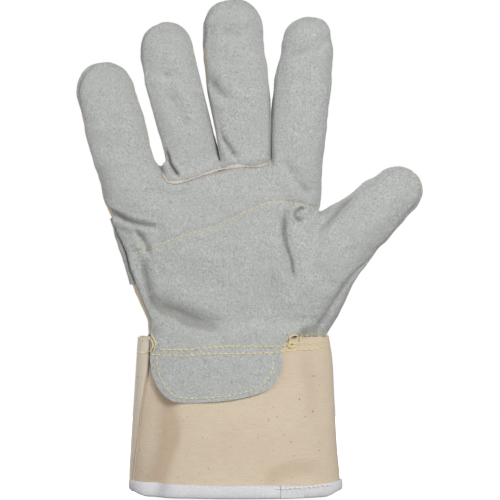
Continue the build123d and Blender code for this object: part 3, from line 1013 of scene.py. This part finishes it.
def cuff_points(columns, z):
    """Points of the cuff's outer surface, their outward normals and dents, for columns at heights z."""
    columns, z = np.broadcast_arrays(columns, z)
    across, depth = at_columns(ACROSS, columns), at_columns(DEPTH, columns)
    left, right, half = (through(CUFF, column, z) for column in (1, 2, 3))
    x = (left + right) / 2 + across * (right - left) / 2
    y = depth * half
    nx = np.sign(across) * np.abs(across) ** (SQUARENESS - 1) / ((right - left) / 2)
    ny = np.sign(depth) * np.abs(depth) ** (SQUARENESS - 1) / half
    size = np.hypot(nx, ny)
    normal = np.stack([nx / size, ny / size, np.zeros_like(x)], -1)
    point = np.stack([x, y, z * np.ones_like(x)], -1)
    dent = np.zeros(x.size)
    flat_x, flat_z = x.ravel(), point[..., 2].ravel()
    front = y.ravel() < 0
    for side, folds in ((front, CUFF_DENTS), (~front, CUFF_BACK_DENTS)):
        for fold in folds:
            dent += side * crease(*fold, flat_x, flat_z)
    dent += 0.22 * noise_waves(point.reshape(-1, 3), 34, 11) * ease(0, 14, flat_z)
    return point + normal * dent.reshape(x.shape)[..., None], normal, dent.reshape(x.shape)


def flattened_lap(y, across, z):
    """Depths of the lap on the cuff's left: it lies flat towards the viewer and turns sharply at the side."""
    flat = (1 - np.abs(across) ** LAP_SQUARENESS) ** (1 / LAP_SQUARENESS)
    share = 0.9 * ease(0, 2.5, -y) * ease(3, 20, z) * (across < 0)
    return y * (1 - share) + y[:, -1:] * flat / flat[:, -1:] * share


def cuff_sheet(name, columns, low, high, lift, thickness, material, rows=70, lay_stitches=False, slant=0.0):
    """A sheet of the cuff over a run of columns, from height low to high (numbers, or one per column).

    slant pulls the last columns back towards the first, most of all at the lower edge. Dents are painted
    with shade by their depth, and the sheet's raw end there is painted dark in full: partly the raw edge's
    own brown, partly painted shadow.
    """
    wide = len(columns)
    share = np.linspace(0, 1, rows + 1)[:, None]
    low, high = np.broadcast_to(low, wide)[None], np.broadcast_to(high, wide)[None]
    z = low + (high - low) * share
    grid = np.broadcast_to(np.asarray(columns, float)[None], z.shape)
    if slant:
        pulled = ease(2.5 * slant, 0, columns[-1] - np.asarray(columns, float))[None]
        grid = grid - slant * pulled * (1 - z / CUFF_TOP) ** 1.3
    points, normals, dent = cuff_points(grid, z)
    points = points + normals * np.broadcast_to(lift, wide)[None, :, None]
    if slant:
        points[..., 1] = flattened_lap(points[..., 1], at_columns(ACROSS, grid), z)
    tris = grid_triangles(rows, wide, closed=wide == CUFF_STEPS)
    cloth = np.stack([at_columns(ROUND, grid), points[..., 2], np.zeros(z.shape)], -1)
    verts, facing = points.reshape(-1, 3), normals.reshape(-1, 3)
    if lay_stitches:
        SURFACES.append((verts, tris))
    # painted shade: deeper dents are painted darker; the lap's raw end is painted dark, partly its own brown
    # edge, partly painted shadow
    edge_and_dent_shade = np.clip(-dent / DEEPEST_DENT, 0, MOST_DENT_SHADE)
    if slant:
        edge_and_dent_shade[:, -2:] = 1.0
    return shell(name, verts, tris, facing, material, cloth.reshape(-1, 3), edge_and_dent_shade.ravel(), thickness)


def columns_between(first_x, last_x, front=True):
    """Column numbers of the cuff from first_x to last_x, measured at mid height on one side."""
    left, right = through(CUFF, 1, MID_HEIGHT), through(CUFF, 2, MID_HEIGHT)
    side = DEPTH < 0 if front else DEPTH >= 0
    x = (left + right) / 2 + ACROSS * (right - left) / 2
    return np.nonzero(side & (x >= first_x) & (x <= last_x))[0]


def ragged_edge(rng, count, size):
    """Small random heights along a raw edge, evened out over five columns."""
    return size * np.convolve(rng.normal(size=count), np.ones(5) / 5, "same")


def cuff_pieces(materials):
    front_columns, back_columns = cuff_columns()
    rng = np.random.default_rng(21)
    top = CUFF_TOP + ragged_edge(rng, len(front_columns), 0.35)
    obj = cuff_sheet("cuff_front_canvas", front_columns, HEM_GAP + hem_rise(front_columns), top, 0.0, CANVAS,
                     materials["canvas"], lay_stitches=True)
    finish_piece(obj, "hand", "canvas", "cuff_front")
    place = cuff_points(back_columns, np.full(len(back_columns), MID_HEIGHT))[0]
    lift = 0.15 + 0.85 * ease(1, -4, place[:, 1]) * (place[:, 0] < 0)
    top = CUFF_TOP - 0.6 + ragged_edge(rng, len(back_columns), 0.3)
    obj = cuff_sheet("cuff_back_canvas", back_columns, HEM_GAP + hem_rise(back_columns), top, lift, CANVAS,
                     materials["cuff_back_canvas"], lay_stitches=True, slant=LAP_SLANT)
    finish_piece(obj, "hand", "canvas", "cuff_back")
    columns = np.arange(CUFF_STEPS)
    obj = cuff_sheet("cuff_lining_cloth", columns, HEM_GAP + hem_rise(columns), LINING_TOP, LINING_SINK, 0.6,
                     materials["cotton_lining"], rows=40)
    finish_piece(obj, "hand", "cotton_lining", "cuff_lining")
    binding(materials["binding_tape"])
    binding_lap(materials["binding_tape"])
    SURFACES.append(binding_surface())


def cuff_columns():
    """The runs of columns that the front's canvas and the back's canvas cover; they lap at both sides."""
    right_side = columns_between(BACK_SEAM_X, FAR, front=False)
    front_columns = np.arange(columns_between(FRONT_X, FAR).min(), CUFF_STEPS + right_side.max() + 1)
    back_columns = np.arange(right_side.max() - 4, columns_between(-FAR, WRAP_X).max() + 1)
    return front_columns, back_columns


BINDING_PROFILE = [             # share of the tape's height, distance out from the canvas's outer face
    (0.98, 0.25), (1.00, 1.05), (0.80, 1.45), (0.43, 1.5), (0.16, 1.35), (0.04, 0.7), (0.0, -0.2),
    (0.0, -1.4), (0.04, -2.1), (0.16, -2.6), (0.43, -2.7), (0.80, -2.7), (0.96, -2.6), (0.97, -1.95),
    (0.43, -1.9), (0.22, -1.9), (0.17, -0.9), (0.17, -0.4), (0.22, 0.2), (0.64, 0.25)]


def binding_top(columns):
    """Height of the tape's upper edge: a little wavy, higher at the front and towards both sides."""
    way_round, across, depth = (at_columns(values, columns) for values in (ROUND, ACROSS, DEPTH))
    wave = 0.28 * np.sin(way_round * 0.045 + 1.0) + 0.18 * np.sin(way_round * 0.13)
    return TAPE_HEIGHT + wave + 1.5 * ease(0.45, -0.3, depth) + 0.7 * ease(0.7, 1.0, np.abs(across))


def binding(material):
    """White tape folded over the hem, all the way round."""
    wide, columns = len(BINDING_PROFILE), np.arange(CUFF_STEPS)
    low, top = hem_rise(columns), binding_top(columns)
    verts, cloth = [], []
    length = 0.0
    previous = BINDING_PROFILE[0]
    for share, out in BINDING_PROFILE:
        length += math.hypot(TYPICAL_TAPE * (share - previous[0]), out - previous[1])
        previous = (share, out)
        points, normals, _ = cuff_points(columns, low + (top - low) * share)
        verts.append(points + normals * out)
        cloth.append(np.stack([ROUND, np.full(CUFF_STEPS, length), 0 * ROUND], -1))
    tris = grid_triangles(CUFF_STEPS, wide, True) % (CUFF_STEPS * wide)
    verts, cloth = (np.stack(values, 1).reshape(-1, 3) for values in (verts, cloth))
    obj = add_mesh("cuff_binding_tape", verts, tris, material, cloth)
    finish_piece(obj, "hand", "binding_tape", "cuff_binding")


def binding_lap(material):
    """The tape's end, lapped over its start."""
    lap = columns_between(14.5, 26.5)
    slanted = binding_top(lap) + 0.4 - 1.6 * np.linspace(0, 1, len(lap))
    obj = cuff_sheet("binding_tape_lap", lap, hem_rise(lap) + 0.7, slanted, 2.1, 0.55, material, rows=16,
                     lay_stitches=True)
    finish_piece(obj, "hand", "binding_tape")


def binding_surface(rows=4):
    """The tape's outer face, for laying stitches on."""
    columns = np.arange(CUFF_STEPS)
    low, top = hem_rise(columns), binding_top(columns)
    share = np.linspace(0.06, 0.98, rows + 1)[:, None]
    points, normals, _ = cuff_points(columns[None], low + (top - low) * share)
    return (points + normals * TAPE_OUT).reshape(-1, 3), grid_triangles(rows, CUFF_STEPS, True)


# ------------ sewing
OUTSIDE = 90.0                  # y well in front of the glove, or behind it
STITCH_TAPER = [0.55, 0.95, 1, 1, 0.95, 0.55]
WOBBLE = 0.12                   # how unevenly stitches are set
STRAP_MARGIN = 2.4              # from the strap's edges to its stitches
WELT_RADIUS = 0.72
WELT_LIFT = 0.4
TAIL_RADIUS = 0.36
FIBRES = 64                     # in the canvas's frayed edge
FIBRE_RADIUS = 0.13


def landing(surface, x, z, front=True):
    """Where a line of sight at (x, z) meets the glove, and the surface normal there, facing out."""
    side = -1 if front else 1
    hit, normal, _, _ = surface.ray_cast(Vector((x, OUTSIDE * side, z)), Vector((0, -side, 0)))
    if hit is None:
        return None, None
    normal = np.array(normal)
    if normal[1] * side < 0:
        normal = -normal
    return np.array(hit), normal


def laid(surface, curve, lifts):
    """Points along an (x, z) curve on the palm side, lifted off the glove, and the normals there."""
    landings = [landing(surface, x, z) for x, z in curve]
    places = [hit + normal * lift for (hit, normal), lift in zip(landings, lifts)]
    return places, np.array([normal for _, normal in landings])


def stitches(surface, path, seed, pitch=3.1, gap=0.75, radius=0.38, front=True, sink=0.25):
    """One row of thread laid along a path of (x, z) points, as separate stitches that dip at both ends."""
    rng = np.random.default_rng(seed)
    curve = smooth_path(path, 0.5)
    run = np.concatenate([[0], np.cumsum(np.linalg.norm(np.diff(curve, axis=0), axis=1))])
    parts = []
    at = 0.0
    while at + pitch < run[-1]:
        stretch = pitch * rng.uniform(0.94, 1.06)
        ends = at + gap / 2, at + stretch - gap / 2
        places, facing = [], []
        for share in np.linspace(0, 1, len(STITCH_TAPER)):
            d = ends[0] + (ends[1] - ends[0]) * share
            x, z = np.interp(d, run, curve[:, 0]), np.interp(d, run, curve[:, 1])
            hit, normal = landing(surface, x + rng.normal() * WOBBLE * 0.3, z + rng.normal() * WOBBLE, front)
            if hit is None:
                break
            dip = (2 * share - 1) ** 4
            places.append(hit + normal * (radius * 0.8 * (1 - dip) - sink * dip))
            facing.append(normal)
        if len(places) == len(STITCH_TAPER):
            parts.append(tube(places, np.array(facing), radius, 0.85, 6, STITCH_TAPER))
        at += stretch
    return parts


# the cuff's two rows, along the front
UPPER_ROW = [(-47.9, 82.7), (-33, 82.9), (-22.7, 84), (-7.4, 84.6), (14.5, 84.6), (26, 86), (34.8, 86),
             (42, 87.6)]
LOWER_ROW = [(-60.2, 81), (-55.6, 80.5), (-50, 80), (-33, 79.6), (-22.7, 80.5), (8, 81), (19.4, 81.9),
             (27.1, 82.5), (34.8, 82.8), (42.3, 84.3)]
TONGUE_ROW = [(-50, 79.5), (-49.8, 75), (-48, 68.2), (-43, 60.4), (-36.3, 57), (-18, 57.5), (-5, 59.5),
              (5.6, 63.3), (10.8, 69), (12.6, 75), (12.4, 80)]
BINDING_ROW = [(14, 8.9), (24, 9.2), (34, 9.5), (44.5, 10.0)]


def sewing(materials):
    verts, tris = join(SURFACES)
    surface = BVHTree.FromPolygons(verts.tolist(), tris.tolist())

    def sew(name, parts, *nodes, body="hand", thread="sewing_thread"):
        obj = add_mesh(name, *join(parts), materials[thread])
        finish_piece(obj, body, "sewing_thread", *nodes)

    row = stitches(surface, PALM_LINE, 2, pitch=2.4, gap=0.8, radius=0.27)
    sew("palm_stitches", row, "palm_line_thread")
    for name, path in (("upper", UPPER_ROW), ("lower", LOWER_ROW)):
        first_z, last_z = path[0][1], path[-1][1]
        back_path = [(-58, first_z), (-30, first_z + 0.4), (0, last_z - 2), (40, last_z - 2)]
        both = stitches(surface, path, 3) + stitches(surface, back_path, 4, front=False)
        sew(f"cuff_{name}_stitches", both, f"cuff_seam_{name}_thread")
    row = stitches(surface, TONGUE_ROW, 5, pitch=2.9, radius=0.36)
    sew("tongue_stitches", row, "tongue_thread", thread="pale_thread")
    for name, z in (("lower", STRAP_LOW + STRAP_MARGIN), ("upper", STRAP_HIGH - STRAP_MARGIN)):
        path = [(-68, z), (-40, z + 0.3), (-10, z - 0.3), (28, z)]
        sew(f"strap_{name}_stitches", stitches(surface, path, 6, front=False), f"strap_thread_{name}")
    row = stitches(surface, BINDING_ROW, 7, pitch=2.5, gap=0.5, radius=0.5, sink=0.0)
    sew("binding_stitches", row, thread="white_thread")
    row = stitches(surface, THUMB_TIP_SEAM, 8, pitch=2.2, gap=1.2, radius=0.21, sink=0.3)
    sew("thumb_tip_stitches", row, body="thumb_upper", thread="pale_thread")
    welt(surface, materials)
    thread_tails(surface, materials)
    frayed_edge(surface, materials)


def welt(surface, materials):
    """A thin strip caught in the seam below the ring and middle fingers, its edge uneven."""
    rng = np.random.default_rng(12)
    curve = smooth_path(FINGER_SEAM[1:-1], 0.8)
    places, facing = laid(surface, curve, np.full(len(curve), WELT_LIFT))
    ragged = np.convolve(rng.normal(size=len(curve) + 6), np.ones(7) / 7, "valid")
    from_start = np.arange(len(curve)) + 1
    taper = (0.85 + ragged) * np.minimum(1, np.minimum(from_start, from_start[::-1]) / 5)
    verts, faces = tube(places, facing, WELT_RADIUS, 0.9, 8, np.clip(taper, 0.15, 1.8))
    obj = add_mesh("finger_seam_welt_strip", verts, faces, materials["welt"])
    finish_piece(obj, "hand", "welt", "finger_seam_welt")


def loose_thread(surface, path, lifts):
    """A loose end of thread over the glove: (x, z) points, and heights off the surface along the way."""
    curve = smooth_path(path, 0.7)
    along = np.linspace(0, 1, len(curve))
    lift = TAIL_RADIUS + np.interp(along, np.linspace(0, 1, len(lifts)), lifts)
    places, facing = laid(surface, curve, lift)
    return tube(places, facing, TAIL_RADIUS, 1.0, 6, [0.6] + [1.0] * (len(curve) - 2) + [0.6])


TAILS = [
    # (x, z) points, heights off the surface
    ([(-54.5, 91.4), (-51.2, 88.2), (-50, 85.2), (-51.8, 81.3)], [0, 1.0, 1.2, 0]),
    ([(-55.3, 88.5), (-52.4, 87.2), (-51.6, 84), (-54.5, 80.8)], [0, 0.8, 0.9, 0]),
    ([(21, 86), (21.6, 89.3), (24.4, 90.3), (27, 89.2), (26.6, 87)], [0, 0.9, 1.2, 0.9, 0]),
    ([(20.2, 84.6), (22, 86.2), (24.2, 85.4), (22.4, 83.8), (20.4, 84.8)], [0.2, 0.8, 0.6, 0.8, 0.2]),
]


def thread_tails(surface, materials):
    parts = [loose_thread(surface, path, lifts) for path, lifts in TAILS]
    obj = add_mesh("thread_tails", *join(parts), materials["sewing_thread"])
    finish_piece(obj, "hand", "sewing_thread")


def frayed_edge(surface, materials):
    """Short loose fibres along the raw upper edge of the canvas, right of the tongue."""
    rng = np.random.default_rng(30)
    parts = []
    for _ in range(FIBRES):
        x = rng.uniform(17, 42)
        z = CUFF_TOP + rng.uniform(-0.6, 0.2)
        hit, normal = landing(surface, x, z - 1.2)
        if hit is None:
            continue
        lean, length = rng.normal() * 0.6, rng.uniform(0.9, 2.6)
        curl = rng.normal() * 0.5
        share = np.linspace(0, 1, 5)[:, None]
        step = np.array([lean, 0, 1.0]) * share + np.array([curl, -0.3, 0]) * share ** 2
        places = hit + np.array([0, 0.15, 1.2]) + step * length
        parts.append(tube(places, np.tile(normal, (5, 1)), FIBRE_RADIUS, 1.0, 4, [1, 1, 0.9, 0.7, 0.4]))
    obj = add_mesh("cuff_edge_fray", *join(parts), materials["pale_thread"])
    finish_piece(obj, "hand", "canvas")


# ------------ materials
class Shader:
    """A node material, built up one node at a time."""

    def __init__(self, name):
        self.material = bpy.data.materials.new(name)
        self.material.use_nodes = True
        self.tree = self.material.node_tree
        self.tree.nodes.clear()
        self.surface = self.add("ShaderNodeBsdfPrincipled")
        output = self.add("ShaderNodeOutputMaterial")
        self.tree.links.new(self.surface.outputs["BSDF"], output.inputs["Surface"])

    def add(self, kind, inputs=None, **settings):
        node = self.tree.nodes.new(kind)
        for key, value in settings.items():
            setattr(node, key, value)
        for key, value in (inputs or {}).items():
            self.put(node, key, value)
        return node

    def put(self, node, key, value):
        socket = node.inputs[key]
        if isinstance(value, bpy.types.NodeSocket):
            self.tree.links.new(value, socket)
        else:
            socket.default_value = value

    def cloth(self, scale=(1, 1, 1), turn=0.0):
        """Places on the material at rest, in millimetres, times a scale."""
        place = self.add("ShaderNodeAttribute", attribute_name="rest")
        mapping = self.add("ShaderNodeMapping", {"Vector": place.outputs["Vector"], "Scale": scale,
                                                 "Rotation": (0, turn, 0)})
        return mapping.outputs["Vector"]

    def noise(self, vector, scale, detail, roughness=0.55, distortion=0.0):
        node = self.add("ShaderNodeTexNoise", {"Vector": vector, "Scale": scale, "Detail": detail,
                                               "Roughness": roughness, "Distortion": distortion})
        return node.outputs["Fac"]

    def stretch(self, value, low, high, to_low=0.0, to_high=1.0):
        node = self.add("ShaderNodeMapRange", {"Value": value, "From Min": low, "From Max": high,
                                               "To Min": to_low, "To Max": to_high})
        return node.outputs["Result"]

    def math(self, operation, a, b=0.0):
        return self.add("ShaderNodeMath", {0: a, 1: b}, operation=operation).outputs[0]

    def mix(self, factor, a, b):
        node = self.add("ShaderNodeMix", data_type="RGBA")
        self.put(node, 0, factor)
        self.put(node, 6, a)
        self.put(node, 7, b)
        return node.outputs[2]

    def bump(self, height, distance, strength, below=None):
        inputs = {"Height": height, "Distance": distance * MM, "Strength": strength}
        if below is not None:
            inputs["Normal"] = below
        return self.add("ShaderNodeBump", inputs).outputs["Normal"]

    def tint(self, colour, mask, low, high, share, shade):
        """Mixes in up to a share of a shade, where mask rises from low to high."""
        return self.mix(self.stretch(mask, low, high, 0.0, share), colour, shade)

    def shade_hollows(self, colour, shade):
        # paints shade: mixes in a shade colour by the per-vertex amount of painted shade
        painted_shade = self.add("ShaderNodeAttribute", attribute_name="painted_shade").outputs["Fac"]
        return self.tint(colour, painted_shade, 0.1, 1.0, 0.6, shade)

    def ripple(self, socket, length):
        """Waves of the given length along one axis of the cloth."""
        return self.math("SINE", self.math("MULTIPLY", socket, 2 * math.pi / length))

    def finish(self, colour, normal, roughness, specular, sheen=0.0):
        self.put(self.surface, "Base Color", colour)
        if normal is not None:
            self.put(self.surface, "Normal", normal)
        self.put(self.surface, "Roughness", roughness)
        self.put(self.surface, "Specular IOR Level", specular)
        self.put(self.surface, "Sheen Weight", sheen)
        self.put(self.surface, "Sheen Roughness", 0.5)
        return self.material


def rgb(red, green, blue):
    return (red, green, blue, 1.0)


def split_leather():
    """Grey napped leather, with clumps, patches of a more even grey and small dark pits."""
    m = Shader("split_leather")
    nap = m.noise(m.cloth((1.0, 1.0, 0.85), 0.3), 1.15, 3, 0.7, 0.4)
    clumps = m.noise(m.cloth((1.0, 1.0, 0.8), -0.3), 0.42, 4, 0.7, 0.5)
    patches = m.noise(m.cloth(), 0.06, 3, 0.5)
    pits = m.stretch(m.noise(m.cloth((1, 1, 0.8)), 0.8, 2, 0.6), 0.27, 0.37)
    colour = m.mix(m.stretch(nap, 0.34, 0.66), rgb(0.375, 0.388, 0.37), rgb(0.665, 0.68, 0.665))
    colour = m.tint(colour, clumps, 0.38, 0.66, 0.3, rgb(0.60, 0.615, 0.60))
    colour = m.tint(colour, patches, 0.40, 0.60, 0.35, rgb(0.50, 0.508, 0.485))
    colour = m.mix(m.stretch(pits, 0.0, 1.0, 0.5, 0.0), colour, rgb(0.30, 0.30, 0.28))
    # painted shade: darker in the creases, along the seams and in the gaps between the fingers
    colour = m.shade_hollows(colour, rgb(0.23, 0.215, 0.19))
    coarse = m.bump(clumps, 1.2, 0.8)
    fine = m.bump(nap, 0.75, 1.0, coarse)
    return m.finish(colour, fine, 0.95, sheen=0.2, specular=0.12)


YARN = 1.15                     # the canvas's weave, from one yarn to the next but one


def canvas(name, painted_light_share):
    """Unbleached canvas with slubs and flecks, and painted shade in its hollows; the second argument mixes in
    a lighter cream, painted light that makes a lit copy of the canvas.
    """
    m = Shader(name)
    place = m.cloth()
    parts = m.add("ShaderNodeSeparateXYZ", {"Vector": place})
    weave = m.math("MULTIPLY", m.ripple(parts.outputs["X"], YARN), m.ripple(parts.outputs["Y"], YARN))
    slubs = m.noise(m.cloth((0.25, 2.2, 1.0)), 0.55, 4, 0.6)
    slubs_up = m.noise(m.cloth((2.2, 0.25, 1.0)), 0.55, 4, 0.6)
    soil = m.noise(place, 0.05, 4, 0.6)
    grain = m.noise(place, 1.4, 3, 0.7)
    colour = m.mix(m.stretch(grain, 0.3, 0.7), rgb(0.587, 0.485, 0.36), rgb(0.775, 0.655, 0.51))
    colour = m.tint(colour, slubs, 0.35, 0.7, 0.5, rgb(0.82, 0.703, 0.55))
    colour = m.tint(colour, slubs_up, 0.4, 0.7, 0.3, rgb(0.712, 0.605, 0.46))
    colour = m.tint(colour, soil, 0.4, 0.65, 0.35, rgb(0.64, 0.525, 0.38))
    # painted light: a lighter cream mixed in, so that a copy of the canvas looks lit
    colour = m.mix(painted_light_share, colour, rgb(0.95, 0.87, 0.75))
    flecks = m.stretch(m.noise(m.cloth((1.0, 0.7, 1.0)), 0.62, 2, 0.5), 0.69, 0.73)
    colour = m.mix(m.math("MULTIPLY", flecks, 0.85), colour, rgb(0.30, 0.17, 0.08))
    # painted shade: darker in creases and dents, darkest along the lap's raw edge, partly its own brown and
    # partly painted shadow
    colour = m.shade_hollows(colour, rgb(0.43, 0.29, 0.18))
    yarn = m.bump(weave, 0.12, 0.5)
    normal = m.bump(slubs, 0.25, 0.6, yarn)
    return m.finish(colour, normal, 0.9, sheen=0.12, specular=0.2)


def plain_cloth(name, dark, light, rib, bump):
    """A cloth between two shades, its ribs rib millimetres apart."""
    m = Shader(name)
    parts = m.add("ShaderNodeSeparateXYZ", {"Vector": m.cloth()})
    ribs = m.ripple(parts.outputs["X"], rib)
    grain = m.noise(m.cloth((1, 0.6, 1)), 1.3, 3, 0.65)
    colour = m.mix(m.stretch(grain, 0.3, 0.7), dark, light)
    colour = m.tint(colour, m.noise(m.cloth(), 0.12, 3), 0.4, 0.7, 0.3, dark)
    normal = m.bump(grain, bump, 0.6, m.bump(ribs, bump * 0.5, 0.4))
    return m.finish(colour, normal, 0.88, sheen=0.1, specular=0.2)


def thread_material(name, dark, light):
    m = Shader(name)
    twist = m.noise(m.cloth((1.6, 1.0, 2.4), 0.7), 1.6, 2, 0.5)
    colour = m.mix(m.stretch(twist, 0.35, 0.65), dark, light)
    return m.finish(colour, m.bump(twist, 0.15, 0.7), 0.6, sheen=0.2, specular=0.35)


CLOTHS = {
    # name: dark shade, light shade, distance between ribs, height of the relief
    "cotton_lining": (rgb(0.66, 0.62, 0.54), rgb(0.80, 0.77, 0.70), 0.7, 0.10),
    "binding_tape": (rgb(0.62, 0.61, 0.625), rgb(0.81, 0.80, 0.815), 0.9, 0.10),
    "elastic": (rgb(0.55, 0.54, 0.50), rgb(0.78, 0.77, 0.73), 1.6, 0.30),
    "welt": (rgb(0.52, 0.43, 0.36), rgb(0.83, 0.76, 0.69), 5.0, 0.25),
}
THREADS = {
    # name: dark shade, light shade
    "sewing_thread": (rgb(0.70, 0.60, 0.26), rgb(0.94, 0.85, 0.50)),
    "pale_thread": (rgb(0.64, 0.60, 0.38), rgb(0.86, 0.82, 0.58)),
    "white_thread": (rgb(0.82, 0.81, 0.80), rgb(0.96, 0.95, 0.93)),
}


def make_materials():
    materials = {
        "split_leather": split_leather(),
        "canvas": canvas("canvas", 0.0),
        # painted light: a paler copy of the canvas for the back's canvas, whose lap on the front looks lit
        "cuff_back_canvas": canvas("cuff_back_canvas", 0.55),
    }
    for name, look in CLOTHS.items():
        materials[name] = plain_cloth(name, *look)
    for name, shades in THREADS.items():
        materials[name] = thread_material(name, *shades)
    return materials


# ------------ studio, in metres
WORLD_LIGHT = 0.24              # of the white surroundings, which look fully white to the camera
FLOOR_WIDTH = 1.0
FLOOR_DROP = 0.0005             # below the glove's foot
FLOOR_GLOW = 0.88
CAMERA_PLACE = (0.00027, -1.0, 0.1364)
LENS = 131.5                    # in millimetres, like the sensor
SENSOR = 36
MIDDLE_OF_GLOVE = (0, 0, 0.13)
LIGHTS = {
    # name: place, size, power
    "key_light": ((0.6, -1.1, 0.62), 0.5, 13.2),
    "fill_light": ((-1.15, -0.75, 0.12), 0.9, 7.6),
    "back_light": ((-0.5, 1.1, 0.8), 0.7, 15),
}


def surroundings():
    """A world that the camera sees as white, and that lights the glove only weakly."""
    world = bpy.data.worlds.new("studio")
    bpy.context.scene.world = world
    world.use_nodes = True
    nodes, links = world.node_tree.nodes, world.node_tree.links
    background = nodes["Background"]
    background.inputs["Color"].default_value = rgb(1, 1, 1)
    path = nodes.new("ShaderNodeLightPath")
    strength = nodes.new("ShaderNodeMix")
    strength.inputs[2].default_value = WORLD_LIGHT
    strength.inputs[3].default_value = 1.0
    links.new(path.outputs["Is Camera Ray"], strength.inputs[0])
    links.new(strength.outputs[0], background.inputs["Strength"])


def studio_floor():
    mesh = bpy.data.meshes.new("studio_floor")
    half = FLOOR_WIDTH / 2
    corners = [(-half, -half, 0), (half, -half, 0), (half, half, 0), (-half, half, 0)]
    mesh.from_pydata(corners, [], [(0, 1, 2, 3)])
    m = Shader("studio_floor")
    m.put(m.surface, "Emission Color", rgb(1, 1, 1))
    m.put(m.surface, "Emission Strength", FLOOR_GLOW)
    mesh.materials.append(m.finish(rgb(0.8, 0.8, 0.8), None, 0.9, specular=0.0))
    floor = put_in_scene("studio_floor", mesh, (0, 0, -FLOOR_DROP))
    floor.visible_diffuse = False
    floor.visible_glossy = False


def camera():
    data = bpy.data.cameras.new("camera")
    data.lens = LENS
    data.sensor_width = SENSOR
    obj = put_in_scene("camera", data, CAMERA_PLACE)
    obj.rotation_euler = (math.pi / 2, 0, 0)
    bpy.context.scene.camera = obj


def area_light(name, place, size, power):
    data = bpy.data.lights.new(name, "AREA")
    data.energy = power
    data.size = size
    obj = put_in_scene(name, data, place)
    obj.rotation_euler = (Vector(MIDDLE_OF_GLOVE) - obj.location).to_track_quat("-Z", "Y").to_euler()


def studio():
    bpy.context.scene.view_settings.view_transform = "Standard"
    surroundings()
    studio_floor()
    camera()
    for name, (place, size, power) in LIGHTS.items():
        area_light(name, place, size, power)


def main():
    materials = make_materials()
    hand_pieces(materials)
    cuff_pieces(materials)
    sewing(materials)
    studio()


main()
